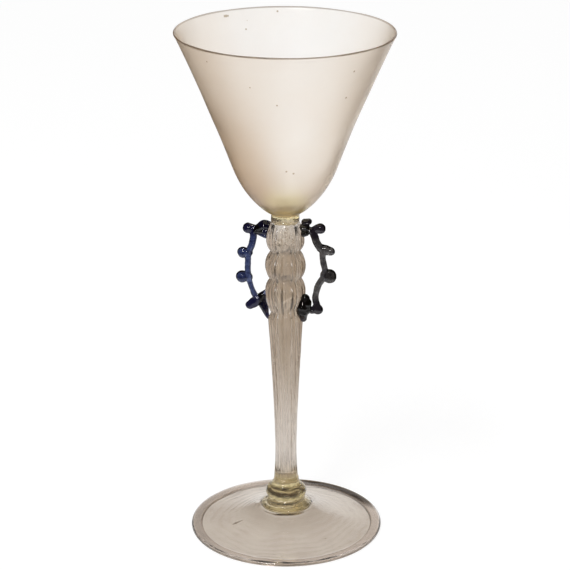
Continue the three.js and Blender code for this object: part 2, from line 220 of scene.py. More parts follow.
class GobletGlass(bpy.types.PropertyGroup):
    """Colours that each glass lets through, and how strongly it takes the rest away"""

    bowl: FloatVectorProperty(
        name="Bowl glass", description="Colour left by the bowl",
        default=(0.9, 0.56, 0.1), size=3, subtype="COLOR")
    bowl_density: FloatProperty(
        name="Bowl density", description="Absorption of the bowl for each metre",
        default=60)
    stem: FloatVectorProperty(
        name="Stem glass", description="Colour left by the stem",
        default=(0.5, 0.37, 0.23), size=3, subtype="COLOR")
    stem_density: FloatProperty(
        name="Stem density", description="Absorption of the stem for each metre",
        default=88)
    green: FloatVectorProperty(
        name="Green glass", description="Colour left by the collars and the ring",
        default=(0.55, 0.42, 0.0), size=3, subtype="COLOR")
    green_density: FloatProperty(
        name="Green density", description="Absorption of the green glass for each metre",
        default=44)
    foot: FloatVectorProperty(
        name="Foot glass", description="Colour left by the foot",
        default=(0.42, 0.27, 0.1), size=3, subtype="COLOR")
    foot_density: FloatProperty(
        name="Foot density", description="Absorption of the foot for each metre",
        default=80)
    blue: FloatVectorProperty(
        name="Blue glass", description="Colour left by the left wing",
        default=(0.02, 0.13, 0.43), size=3, subtype="COLOR")
    blue_density: FloatProperty(
        name="Blue density", description="Absorption of the blue glass for each metre",
        default=950)
    dark: FloatVectorProperty(
        name="Dark blue glass", description="Colour left by the right wing",
        default=(0.24, 0.22, 0.21), size=3, subtype="COLOR")
    dark_density: FloatProperty(
        name="Dark blue density", description="Absorption of the right wing for each metre",
        default=1010)


class GobletStudio(bpy.types.PropertyGroup):
    """Camera and light of the plain studio"""

    azimuth: FloatProperty(
        name="Azimuth", description="Direction that the camera looks from, round the glass",
        default=math.radians(12), unit="ROTATION")
    distance: FloatProperty(
        name="Distance", description="From the glass's axis to the camera, along the table",
        default=0.94505, unit="LENGTH")
    height: FloatProperty(
        name="Height", description="Height of the camera above the table",
        default=0.4741, unit="LENGTH")
    pitch: FloatProperty(
        name="Pitch", description="How far the camera looks down",
        default=math.radians(20.215), unit="ROTATION")
    roll: FloatProperty(
        name="Roll", description="How far the camera is turned about its own line of sight",
        default=math.radians(-0.2), unit="ROTATION")
    aside: FloatProperty(
        name="Aside", description="How far the camera stands to the left of the glass's axis",
        default=0.22 * MM, unit="LENGTH")
    lens: FloatProperty(
        name="Lens", description="Focal length for a film 36 mm wide, in millimetres",
        default=133.57)
    turn: FloatProperty(
        name="Backdrop turn", description="How far the white backdrop stands to the right",
        default=math.radians(12), unit="ROTATION")
    ambient: FloatProperty(
        name="Ambient", description="Strength of the light that comes from all sides",
        default=0.6)
    room_mirrored: FloatVectorProperty(
        name="Room mirrored",
        description="Colour of the room round the backdrop, as glass mirrors it",
        default=(0.07, 0.055, 0.042), size=3, subtype="COLOR")
    room_through: FloatVectorProperty(
        name="Room through glass", description="Colour of the room as seen through the glass",
        default=(0.93, 0.9, 0.85), size=3, subtype="COLOR")


def point(radius, height):
    return Vector((radius, height))


def flat(level, *radii):
    """Points of a level part of an outline."""
    return [point(radius, level) for radius in radii]


def arc(centre, radius, start, end, steps):
    """Points of an arc of an outline, with its angles in degrees from straight outwards."""
    angles = [math.radians(start + (end - start) * i / steps) for i in range(steps + 1)]
    return [centre + radius * point(math.cos(a), math.sin(a)) for a in angles]


def bend(start, start_pull, end_pull, end, steps):
    """Points of a smooth curve of an outline."""
    points = []
    for i in range(steps + 1):
        t = i / steps
        rest = 1 - t
        points.append(
            rest ** 3 * start + 3 * rest ** 2 * t * start_pull
            + 3 * rest * t ** 2 * end_pull + t ** 3 * end)
    return points


def choose(piece, test):
    """Selects the vertices of a piece in edit mode whose place passes a test."""
    mesh = bmesh.from_edit_mesh(piece.data)
    for vertex in mesh.verts:
        vertex.select = test(vertex.co)
    mesh.select_flush_mode()
    bmesh.update_edit_mesh(piece.data)


def choose_ring(piece, level):
    """Selects the ring of vertices of a piece at a level."""
    choose(piece, lambda place: abs(place.z - level) < SAME_RING)


def start_ring(name, segments, radius, height, fill):
    """Adds the circle that a round piece is drawn up from, and opens it for editing."""
    bpy.ops.object.select_all(action="DESELECT")
    bpy.ops.mesh.primitive_circle_add(
        vertices=segments, radius=radius, fill_type=fill, location=(0, 0, height))
    piece = bpy.context.object
    piece.name = piece.data.name = name
    bpy.ops.object.transform_apply(location=True, rotation=True, scale=True)
    bpy.ops.object.mode_set(mode="EDIT")
    bpy.ops.mesh.select_mode(type="VERT")
    return piece


def choose_open_edge():
    bpy.ops.mesh.select_all(action="DESELECT")
    bpy.ops.mesh.select_non_manifold()


def draw_ring(before, after, leaning=0.0):
    """Extrudes the selected ring to the outline's next point, and sets it level if it leans."""
    bpy.ops.mesh.extrude_region_move(
        TRANSFORM_OT_translate={"value": (0, 0, after.y - before.y)})
    if leaning:
        slant_ring(-leaning, after.y)
    share = after.x / before.x
    bpy.ops.transform.resize(value=(share, share, 1), center_override=(0, 0, 0))


def slant_ring(angle, height):
    """Leans the selected ring about the line through the axis that runs away from the front."""
    bpy.ops.transform.rotate(
        value=angle, orient_axis="Y", orient_type="GLOBAL", center_override=(0, 0, height))


def turn_piece(name, outline, segments, lean=None):
    """A closed round piece: the outline runs from the axis back to the axis."""
    piece = start_ring(name, segments, outline[1].x, outline[1].y, "TRIFAN")
    choose_open_edge()
    leaning = 0.0
    for before, after in zip(outline[1:-2], outline[2:-1]):
        draw_ring(before, after, leaning)
        if lean:
            leaning = lean(after.y)
            slant_ring(leaning, after.y)
    bpy.ops.mesh.merge(type="CENTER")
    close_edit()
    return piece


def close_edit():
    """Turns all faces outwards and leaves edit mode."""
    bpy.ops.mesh.select_all(action="SELECT")
    bpy.ops.mesh.normals_make_consistent(inside=False)
    bpy.ops.object.mode_set(mode="OBJECT")


def resize_whole(value, centre):
    """Resizes the whole of the active piece's mesh about a place."""
    bpy.ops.object.mode_set(mode="EDIT")
    bpy.ops.mesh.select_all(action="SELECT")
    bpy.ops.transform.resize(value=value, center_override=centre)
    bpy.ops.object.mode_set(mode="OBJECT")


def apply_modifier(piece, kind, **settings):
    modifier = piece.modifiers.new(kind.title(), kind)
    for name, value in settings.items():
        setattr(modifier, name, value)
    bpy.context.view_layer.objects.active = piece
    bpy.ops.object.modifier_apply(modifier=modifier.name)


def waver(piece, size, reach):
    """Moves the surface in and out a little, as glass worked by hand is never true."""
    texture = bpy.data.textures.new(piece.name + "_waver", "CLOUDS")
    texture.noise_scale = size
    texture.noise_depth = 1
    apply_modifier(
        piece, "DISPLACE", texture=texture, texture_coords="LOCAL", strength=reach, mid_level=0.5)


def settle(piece, node, material, levels=1):
    """Rounds a finished piece, gives it its glass and puts it in its CAD node's place."""
    if levels:
        apply_modifier(piece, "SUBSURF", levels=levels, render_levels=levels)
    piece.select_set(True)
    bpy.context.view_layer.objects.active = piece
    bpy.ops.object.shade_smooth()
    piece.data.materials.clear()
    piece.data.materials.append(material)
    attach(piece, "root")
    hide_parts(node)


# Shading nodes

WHITE = (1, 1, 1, 1)
BLACK = (0, 0, 0, 1)


def new_group(name, inputs, outputs):
    """An empty shader node group that reads a Vector, with the sockets that its nodes use."""
    group = bpy.data.node_groups.new(name, "ShaderNodeTree")
    group.interface.new_socket(name="Vector", in_out="INPUT", socket_type="NodeSocketVector")
    for socket, default in inputs.items():
        kind = "NodeSocketColor" if default is WHITE else "NodeSocketFloat"
        made = group.interface.new_socket(name=socket, in_out="INPUT", socket_type=kind)
        made.default_value = default
    for socket in outputs:
        kind = "NodeSocketColor" if socket == "Color" else "NodeSocketFloat"
        group.interface.new_socket(name=socket, in_out="OUTPUT", socket_type=kind)
    start = group.nodes.new("NodeGroupInput")
    end = group.nodes.new("NodeGroupOutput")
    start.location, end.location = (-900, 0), (600, 0)
    return group, start.outputs, end.inputs


def feed(tree, value, socket):
    """Sets a socket to a number, a colour or another node's output."""
    if value is None:
        return
    if isinstance(value, bpy.types.NodeSocket):
        tree.links.new(value, socket)
    else:
        socket.default_value = value


def spread(tree, value, low, high, to_low=0.0, to_high=1.0):
    """Maps a value from one range to another, smoothly and clamped."""
    node = tree.nodes.new("ShaderNodeMapRange")
    node.interpolation_type = "SMOOTHSTEP"
    for socket, given in zip(node.inputs, (value, low, high, to_low, to_high)):
        feed(tree, given, socket)
    return node.outputs[0]


def calculate(tree, operation, first, second=None):
    node = tree.nodes.new("ShaderNodeMath")
    node.operation = operation
    for socket, value in zip(node.inputs, (first, second)):
        feed(tree, value, socket)
    return node.outputs[0]


def calculate_vector(tree, operation, *vectors):
    """Gives both outputs of a sum with vectors: its Vector and its Value."""
    node = tree.nodes.new("ShaderNodeVectorMath")
    node.operation = operation
    for socket, vector in zip(node.inputs, vectors):
        feed(tree, vector, socket)
    return node.outputs


def stretch(tree, vector, scale):
    return calculate_vector(tree, "MULTIPLY", vector, scale)["Vector"]


def distance_from_axis(tree, place):
    return calculate_vector(tree, "LENGTH", stretch(tree, place, (1, 1, 0)))["Value"]


def noise(tree, vector, scale, detail=2.0, roughness=0.5):
    node = tree.nodes.new("ShaderNodeTexNoise")
    feed(tree, vector, node.inputs["Vector"])
    feed(tree, scale, node.inputs["Scale"])
    node.inputs["Detail"].default_value = detail
    node.inputs["Roughness"].default_value = roughness
    return node.outputs[0]


def blend_colours(tree, share, first, second, mode="MIX"):
    node = tree.nodes.new("ShaderNodeMix")
    node.data_type = "RGBA"
    node.blend_type = mode
    feed(tree, share, node.inputs[0])
    feed(tree, first, node.inputs[6])
    feed(tree, second, node.inputs[7])
    return node.outputs[2]


def make_clouding_group():
    """Thin bloom on old glass: clouds of a second tint, rougher where they lie."""
    group, given, result = new_group(
        "Old Glass Bloom",
        {"Cloud Scale": 60.0, "Tint": WHITE, "Cloud Tint": WHITE, "Polish": 0.05, "Bloom": 0.1},
        ("Color", "Roughness", "Height"))
    clouds = noise(group, given["Vector"], given["Cloud Scale"], detail=5.0, roughness=0.6)
    fine_scale = calculate(group, "MULTIPLY", given["Cloud Scale"], 7.0)
    fine = noise(group, given["Vector"], fine_scale, detail=3.0)
    large_share, fine_share = 0.75, 0.25
    mottled = calculate(
        group, "ADD", calculate(group, "MULTIPLY", clouds, large_share),
        calculate(group, "MULTIPLY", fine, fine_share))
    share = spread(group, mottled, 0.38, 0.66)
    feed(group, blend_colours(group, share, given["Tint"], given["Cloud Tint"]), result["Color"])
    bloomed = calculate(group, "MULTIPLY", share, given["Bloom"])
    feed(group, calculate(group, "ADD", given["Polish"], bloomed), result["Roughness"])
    feed(group, mottled, result["Height"])
    return group


def make_speck_group():
    """Mask of small round seeds and specks, one in some of the cells of a jittered grid."""
    group, given, result = new_group(
        "Seeds And Specks", {"Cell Scale": 200.0, "Share": 0.2, "Size": 0.12}, ("Mask",))
    cells = group.nodes.new("ShaderNodeTexVoronoi")
    feed(group, given["Vector"], cells.inputs["Vector"])
    feed(group, given["Cell Scale"], cells.inputs["Scale"])
    near = calculate(group, "LESS_THAN", cells.outputs["Distance"], given["Size"])
    lucky = group.nodes.new("ShaderNodeSeparateColor")
    feed(group, cells.outputs["Color"], lucky.inputs[0])
    kept = calculate(group, "LESS_THAN", lucky.outputs[0], given["Share"])
    feed(group, calculate(group, "MULTIPLY", near, kept), result["Mask"])
    return group


def make_ring_group():
    """Faint rings left by the tools as the glass was turned: a height by distance from the axis."""
    group, given, result = new_group(
        "Turning Rings", {"Spacing": 3 * MM, "Wander": 2 * MM}, ("Height",))
    wander = calculate(group, "MULTIPLY", noise(group, given["Vector"], 40.0), given["Wander"])
    away = calculate(group, "ADD", distance_from_axis(group, given["Vector"]), wander)
    turned = calculate(group, "MULTIPLY", away, math.tau)
    phase = calculate(group, "DIVIDE", turned, given["Spacing"])
    feed(group, calculate(group, "SINE", phase), result["Height"])
    return group


def make_striae_group():
    """Fine lines that run up drawn glass, as a mask and a height."""
    group, given, result = new_group(
        "Drawn Striae", {"Across": 500.0, "Along": 20.0}, ("Mask", "Height"))
    scale = group.nodes.new("ShaderNodeCombineXYZ")
    for socket, value in zip(scale.inputs, (given["Across"], given["Across"], given["Along"])):
        feed(group, value, socket)
    lines = noise(
        group, stretch(group, given["Vector"], scale.outputs[0]), scale=1.0, detail=3.0)
    feed(group, spread(group, lines, 0.52, 0.7), result["Mask"])
    feed(group, lines, result["Height"])
    return group


SHARED = {
    "bloom": make_clouding_group(),
    "specks": make_speck_group(),
    "rings": make_ring_group(),
    "striae": make_striae_group(),
}


class GlassShader:
    """A glass material: one Principled shader, its absorption and what roughens the surface."""

    def __init__(self, name, milk, reflection=0.5, bending=1.5):
        self.material = bpy.data.materials.new(name)
        self.material.use_nodes = True
        self.tree = self.material.node_tree
        self.tree.nodes.clear()
        self.shader = self.tree.nodes.new("ShaderNodeBsdfPrincipled")
        self.output = self.tree.nodes.new("ShaderNodeOutputMaterial")
        self.tree.links.new(self.shader.outputs[0], self.output.inputs["Surface"])
        self.place = self.tree.nodes.new("ShaderNodeTexCoord").outputs["Object"]
        self.shader.inputs["Transmission Weight"].default_value = 1 - milk
        self.shader.inputs["IOR"].default_value = bending
        self.shader.inputs["Specular IOR Level"].default_value = reflection
        self.bumps = None

    def absorb(self, colour, density):
        volume = self.tree.nodes.new("ShaderNodeVolumeAbsorption")
        volume.inputs["Color"].default_value = (*colour, 1)
        volume.inputs["Density"].default_value = density
        self.tree.links.new(volume.outputs[0], self.output.inputs["Volume"])

    def use(self, effect, **values):
        """Places one of the shared effects, with its own values, and gives its outputs."""
        node = self.tree.nodes.new("ShaderNodeGroup")
        node.node_tree = SHARED[effect]
        feed(self.tree, self.place, node.inputs["Vector"])
        for name, value in values.items():
            feed(self.tree, value, node.inputs[name.replace("_", " ")])
        return node.outputs

    def calculate(self, operation, first, second=None):
        return calculate(self.tree, operation, first, second)

    def multiply(self, first, second):
        return calculate(self.tree, "MULTIPLY", first, second)

    def apart(self, first, second):
        """How far two values lie apart."""
        return self.calculate("ABSOLUTE", self.calculate("SUBTRACT", first, second))

    def spread(self, value, low, high, to_low=0.0, to_high=1.0):
        return spread(self.tree, value, low, high, to_low, to_high)

    def fade(self, value, low, high):
        """One up to a low value, and nothing from a high one on."""
        return spread(self.tree, value, low, high, 1.0, 0.0)

    def noise(self, scale):
        return noise(self.tree, self.place, scale)

    def blend(self, share, first, second):
        return blend_colours(self.tree, share, first, second)

    def tint(self, share, colour, tint):
        """Filters a colour through a tint, as far as the share says."""
        return blend_colours(self.tree, share, colour, tint, "MULTIPLY")

    def paint_edge_shade(self, colour, edge, strength=1.0, narrowness=1.2):
        """Paints shade on the glass where it is seen at a slant, darkest towards its outline."""
        layer = self.tree.nodes.new("ShaderNodeLayerWeight")
        share = self.calculate("POWER", layer.outputs["Facing"], narrowness)
        tint = self.blend(self.multiply(share, strength), WHITE, edge)
        return self.tint(1.0, colour, tint)

    def stones(self, stones, core=0.4):
        """Mask of single specks, each given by its place and radius and full within its core."""
        mask = None
        for *place, radius in stones:
            away = calculate_vector(self.tree, "DISTANCE", self.place, place)["Value"]
            one = self.fade(away, radius * core, radius)
            mask = self.calculate("MAXIMUM", one, mask) if mask else one
        return mask

    def melt(self, *seams, reach=0.3 * MM):
        """Lets light pass where a piece is melted to the next: each seam is a height and a radius.

        There is no surface left inside glass that has run together.
        """
        away, level = self.distance_of_place(), self.height_of_place()
        melted = None
        for height, radius in seams:
            near = self.calculate("COMPARE", level, height)
            near.node.inputs[2].default_value = reach
            one = self.multiply(near, self.calculate("LESS_THAN", away, radius))
            melted = self.calculate("MAXIMUM", one, melted) if melted else one
        feed(self.tree, self.calculate("SUBTRACT", 1.0, melted), self.shader.inputs["Alpha"])

    def bump(self, height, distance):
        """Adds relief of that depth over what is there already."""
        node = self.tree.nodes.new("ShaderNodeBump")
        node.inputs["Distance"].default_value = distance
        feed(self.tree, height, node.inputs["Height"])
        feed(self.tree, self.bumps, node.inputs["Normal"])
        self.bumps = node.outputs[0]

    def finish(self, colour, roughness):
        feed(self.tree, colour, self.shader.inputs["Base Color"])
        feed(self.tree, roughness, self.shader.inputs["Roughness"])
        feed(self.tree, self.bumps, self.shader.inputs["Normal"])
        return self.material

    def height_of_place(self):
        node = self.tree.nodes.new("ShaderNodeSeparateXYZ")
        feed(self.tree, self.place, node.inputs[0])
        return node.outputs["Z"]

    def towards(self, direction):
        """How far a place lies in a direction."""
        return calculate_vector(self.tree, "DOT_PRODUCT", self.place, direction)["Value"]

    def distance_of_place(self):
        """Distance from the goblet's axis."""
        return distance_from_axis(self.tree, self.place)


# Tints of the bowl: its clouds, painted shade on one side and low down, painted light over the
# neck, painted shade at the rim in front and behind, where seen at a slant and at the outline, and
# specks
BOWL_CLOUDS = (0.987, 0.978, 0.972, 1)
BOWL_SHADED_SIDE = (0.83, 0.755, 0.67, 1)
BOWL_LOW_SHADE = (0.875, 0.835, 0.79, 1)
BOWL_BAND_PAINTED_LIGHT = (1, 0.99, 0.68, 1)
BOWL_RIM_SHADE_FRONT = (0.6, 0.52, 0.45, 1)
BOWL_RIM_SHADE_BEHIND = (0.43, 0.39, 0.36, 1)
BOWL_SLANTED_SHADE = (1, 0.895, 0.77, 1)
BOWL_OUTLINE_SHADE = (0.6, 0.5, 0.4, 1)
BOWL_SPECKS = (0.3, 0.22, 0.14, 1)


def bowl_glass(glass, sizes):
    """Smoky bowl glass with a thin old bloom, seeds, specks and faint turning rings."""
    made = GlassShader("smoky_bowl_glass", milk=0.02, bending=1.45)
    made.absorb(glass.bowl, glass.bowl_density)
    bloom = made.use(
        "bloom", Cloud_Scale=45.0, Tint=WHITE, Cloud_Tint=BOWL_CLOUDS, Polish=0.28, Bloom=0.03)
    level = made.height_of_place()
    # Painted shade: the bowl is darker on one side, most of all low down
    side = made.calculate("DIVIDE", made.towards(PAINTED_SHADE_SIDE), made.distance_of_place())
    thick = made.multiply(
        made.spread(side, -0.2, 0.95),
        made.spread(
            level, BOWL_BASE + 18 * MM, BOWL_BASE + 75 * MM, to_low=1.0, to_high=0.2))
    colour = made.tint(thick, bloom["Color"], BOWL_SHADED_SIDE)
    # Painted shade: the bowl is darker towards its base
    low = made.fade(level, BOWL_BASE + 8 * MM, BOWL_BASE + 24 * MM)
    colour = made.tint(low, colour, BOWL_LOW_SHADE)
    # Painted light: the yellow-green of the collar below, laid on the bowl's lowest few millimetres
    collar_lit_band = made.fade(level, BOWL_BASE + 3 * MM, BOWL_BASE + 7 * MM)
    colour = made.blend(collar_lit_band, colour, BOWL_BAND_PAINTED_LIGHT)
    # Painted shade: the rim is drawn as a dark line, darker on the far side
    rim = made.spread(
        made.towards((math.sin(sizes.rim_lean), 0, 1)),
        RIM_HEIGHT - 1.1 * MM, RIM_HEIGHT - 0.75 * MM)
    behind = made.spread(made.towards(RIM_SHADE_SIDE), 5 * MM, 35 * MM)
    colour = made.blend(rim, colour, made.blend(behind, BOWL_RIM_SHADE_FRONT, BOWL_RIM_SHADE_BEHIND))
    above = made.calculate("SUBTRACT", 1.0, collar_lit_band)
    # Painted shade where the bowl is seen at a slant, and a narrower, darker one at its outline
    colour = made.paint_edge_shade(colour, BOWL_SLANTED_SHADE, above)
    colour = made.paint_edge_shade(colour, BOWL_OUTLINE_SHADE, above, narrowness=5.0)
    specks = made.use("specks", Cell_Scale=150.0, Share=0.07, Size=0.055)["Mask"]
    marks = made.calculate("MAXIMUM", specks, made.stones(BOWL_STONES))
    made.melt((BOWL_BASE - sizes.sink, BOWL_MELT))
    made.bump(made.use("rings", Spacing=5 * MM, Wander=4 * MM)["Height"], 0.02 * MM)
    made.bump(bloom["Height"], 0.12 * MM)
    return made.finish(made.blend(marks, colour, BOWL_SPECKS), bloom["Roughness"])


# Tints of the stem: its skin and clouds, its lower end, the painted highlight on its streaks, the
# painted light on the crackled patches and along the crease, and the cracks in the patches
STEM_SKIN = (0.75, 0.695, 0.625, 1)
STEM_CLOUDS = (0.68, 0.612, 0.53, 1)
STEM_LOWER_END = (1, 0.97, 0.85, 1)
STEM_STREAK_HIGHLIGHT = (0.9, 0.88, 0.88, 1)
STEM_PAINTED_LIGHT = (0.97, 0.93, 0.87, 1)
STEM_CRACKS = (0.3, 0.24, 0.17, 1)


def stem_glass(glass, sizes):
    """The same glass in the stem: drawn lines, painted highlight streaks, and crackled patches in
    painted light.
    """
    made = GlassShader("smoky_stem_glass", milk=0.02, reflection=0.3)
    made.absorb(glass.stem, glass.stem_density)
    bloom = made.use(
        "bloom", Cloud_Scale=120.0, Tint=STEM_SKIN, Cloud_Tint=STEM_CLOUDS, Polish=0.13,
        Bloom=0.08)
    made.melt((STEM_BASE, STEM_MELT), (STEM_TOP + sizes.sink, NECK_MELT))
    level = made.height_of_place()
    skin = made.calculate(
        "MINIMUM",
        made.spread(level, STEM_BASE + 4 * MM, STEM_BASE + SHOULDER - 6 * MM),
        made.fade(level, STEM_TOP - 18 * MM, STEM_TOP))
    ends = made.blend(made.spread(level, STEM_BASE, STEM_BASE + 9 * MM), STEM_LOWER_END, WHITE)
    colour = made.blend(skin, ends, bloom["Color"])
    striae = made.use("striae", Across=1000.0, Along=18.0)
    # Painted highlight: the drawn lines are given lighter streaks
    colour = made.blend(made.multiply(striae["Mask"], 0.35), colour, STEM_STREAK_HIGHLIGHT)
    made.bump(striae["Height"], 0.12 * MM)
    made.bump(bloom["Height"], 0.08 * MM)
    # Crackled patches: real crackle relief and dark cracks, with painted light that makes them
    # lighter
    lit_crizzled = made.stones(LIT_CRIZZLED_PATCHES)
    crackle = made.noise(520.0)
    made.bump(made.multiply(crackle, lit_crizzled), 0.6 * MM)
    # Painted highlight: a bright line along the pinch under the lower bulb
    from_crease = made.apart(made.towards(CREASE_PLANE), CREASE_LEVEL)
    from_middle = made.apart(made.towards(CREASE_SIDE), CREASE_MIDDLE)
    crease_highlight = made.multiply(
        made.fade(from_crease, 0.3 * MM, 0.6 * MM),
        made.fade(from_middle, CREASE_REACH - 0.8 * MM, CREASE_REACH))
    colour = made.blend(made.calculate("MAXIMUM", lit_crizzled, crease_highlight), colour, STEM_PAINTED_LIGHT)
    from_line = made.apart(crackle, 0.5)
    cracks = made.multiply(lit_crizzled, made.fade(from_line, 0.012, 0.035))
    return made.finish(made.blend(cracks, colour, STEM_CRACKS), bloom["Roughness"])


# Tints of the ring and the collars: their skin, clouds and streaks
GREEN_SKIN = (0.97, 0.93, 0.76, 1)
GREEN_CLOUDS = (0.78, 0.71, 0.5, 1)
GREEN_STREAKS = (0.5, 0.42, 0.28, 1)


def collar_glass(glass, sizes):
    """Yellow-green glass of the ring and the collars, with rings left by turning."""
    made = GlassShader("collar_glass", milk=0.03, bending=1.42)
    made.absorb(glass.green, glass.green_density)
    bloom = made.use(
        "bloom", Cloud_Scale=190.0, Tint=GREEN_SKIN, Cloud_Tint=GREEN_CLOUDS, Polish=0.02,
        Bloom=0.08)
    made.melt(
        (FOOT_TOP - sizes.sink, FOOT_MELT), (RING_BASE, RING_MELT),
        (RING_BASE - sizes.sink, RING_MELT), (STEM_BASE + sizes.sink, STEM_MELT),
        (STEM_TOP, NECK_MELT), (BOWL_BASE + sizes.sink, NECK_MELT))
    made.bump(made.use("rings", Spacing=1.4 * MM, Wander=3 * MM)["Height"], 0.04 * MM)
    striae = made.use("striae", Across=800.0, Along=60.0)
    made.bump(striae["Height"], 0.2 * MM)
    made.bump(bloom["Height"], 0.2 * MM)
    made.bump(made.noise(700.0), 0.3 * MM)
    drawn = made.spread(made.height_of_place(), STEM_BASE - 6 * MM, STEM_BASE, to_high=0.7)
    colour = made.blend(made.multiply(striae["Mask"], drawn), bloom["Color"], GREEN_STREAKS)
    return made.finish(colour, bloom["Roughness"])


# Tints of the foot: its skin and clouds, under the collar, the painted shade round the collar, the
# turning rings, the fold, the painted shade on the fold on two sides, and the specks
FOOT_SKIN = (0.7, 0.635, 0.565, 1)
FOOT_CLOUDS = (0.66, 0.59, 0.525, 1)
FOOT_UNDER_COLLAR = (0.97, 0.95, 0.9, 1)
FOOT_SHADE_BESIDE_COLLAR = (0.84, 0.83, 0.81, 1)
FOOT_RINGS = (0.6, 0.52, 0.44, 1)
FOOT_HEM = (0.84, 0.785, 0.74, 1)
FOOT_HEM_SHADE = (0.15, 0.1, 0.055, 1)
FOOT_HEM_SIDE_SHADE = (0.87, 0.87, 0.87, 1)
FOOT_SPECKS = (0.12, 0.09, 0.06, 1)


def foot_glass(glass, sizes):
    """Grey-beige foot glass with turning rings, a few seeds and one dark stone."""
    made = GlassShader("grey_foot_glass", milk=0.03)
    made.absorb(glass.foot, glass.foot_density)
    bloom = made.use(
        "bloom", Cloud_Scale=70.0, Tint=FOOT_SKIN, Cloud_Tint=FOOT_CLOUDS, Polish=0.05, Bloom=0.1)
    away = made.distance_of_place()
    skin = made.spread(away, FOOT_COLLAR_RADIUS - 2 * MM, FOOT_COLLAR_RADIUS + 0.5 * MM)
    colour = made.blend(skin, FOOT_UNDER_COLLAR, bloom["Color"])
    # Painted shade: the foot is darker round its collar
    shade_beside = made.fade(away, FOOT_COLLAR_RADIUS, FOOT_COLLAR_RADIUS + 14 * MM)
    colour = made.tint(made.multiply(shade_beside, skin), colour, FOOT_SHADE_BESIDE_COLLAR)
    rings = made.use("rings", Spacing=3.7 * MM, Wander=14 * MM)
    faint = made.spread(made.noise(70.0), 0.35, 0.7, to_low=0.05, to_high=0.4)
    ringed = made.multiply(faint, made.spread(rings["Height"], 0.1, 1.0))
    colour = made.blend(ringed, colour, FOOT_RINGS)
    folded = FOOT_RADIUS - sizes.fold_width
    hem = made.spread(away, folded + 0.6 * MM, folded + 0.9 * MM)
    # Painted shade on the fold: nearly black on one side and greyer on another
    thick = made.spread(made.towards(HEM_SHADED_SIDE), 35 * MM, 42 * MM)
    hem_side_shade = made.spread(made.towards(PAINTED_SHADE_SIDE), 25 * MM, 42 * MM)
    hem_tint_and_shade = made.tint(hem_side_shade, made.blend(thick, FOOT_HEM, FOOT_HEM_SHADE), FOOT_HEM_SIDE_SHADE)
    colour = made.blend(hem, colour, hem_tint_and_shade)
    specks = made.use("specks", Cell_Scale=170.0, Share=0.08, Size=0.06)["Mask"]
    marks = made.calculate("MAXIMUM", made.stones(FOOT_STONES), specks)
    made.melt((FOOT_TOP, FOOT_MELT))
    made.bump(rings["Height"], 0.02 * MM)
    made.bump(bloom["Height"], 0.08 * MM)
    return made.finish(made.blend(marks, colour, FOOT_SPECKS), bloom["Roughness"])


# Tints of the wings: their skin and clouds, painted shade where seen at a slant, and their ends
WING_SKIN = (1, 0.98, 0.96, 1)
WING_CLOUDS = (0.12, 0.13, 0.2, 1)
WING_EDGE_SHADE = (0.01, 0.01, 0.02, 1)
WING_ENDS = (0.1, 0.075, 0.15, 1)


def wing_glass(name, colour, density, dark_ends):
    """Deep blue glass, fire-polished, mottled with seeds, and nearly black at the pads."""
    made = GlassShader(name, milk=0.0, reflection=0.7)
    made.absorb(colour, density)
    bloom = made.use(
        "bloom", Cloud_Scale=480.0, Tint=WING_SKIN, Cloud_Tint=WING_CLOUDS, Polish=0.0, Bloom=0.03)
    level = made.height_of_place()
    middle = STEM_BASE + MIDDLE_BULB
    top = made.spread(level, middle + 12 * MM, middle + 16 * MM)
    bottom = made.fade(level, middle - 19 * MM, middle - 14 * MM)
    ends = made.multiply(made.calculate("MAXIMUM", top, bottom), dark_ends)
    # Painted shade at the wing's edges, where it is seen at a slant
    shaded = made.blend(ends, made.paint_edge_shade(bloom["Color"], WING_EDGE_SHADE), WING_ENDS)
    made.bump(made.use("striae", Across=700.0, Along=120.0)["Height"], 0.08 * MM)
    made.bump(bloom["Height"], 0.08 * MM)
    return made.finish(shaded, bloom["Roughness"])


GLASSES = {}


class GOBLET_OT_glasses(bpy.types.Operator):
    """Make the goblet's glasses, which its pieces share"""

    bl_idname = "goblet.glasses"
    bl_label = "Glasses"

    def execute(self, context):
        glass, sizes = context.scene.goblet_glass, context.scene.goblet_sizes
        GLASSES.update({
            "bowl": bowl_glass(glass, sizes),
            "stem": stem_glass(glass, sizes),
            "collar": collar_glass(glass, sizes),
            "foot": foot_glass(glass, sizes),
            "left": wing_glass(
                "left_wing_glass", glass.blue, glass.blue_density, dark_ends=1.0),
            "right": wing_glass(
                "right_wing_glass", glass.dark, glass.dark_density, dark_ends=0.9),
        })
        return {"FINISHED"}


# The pieces


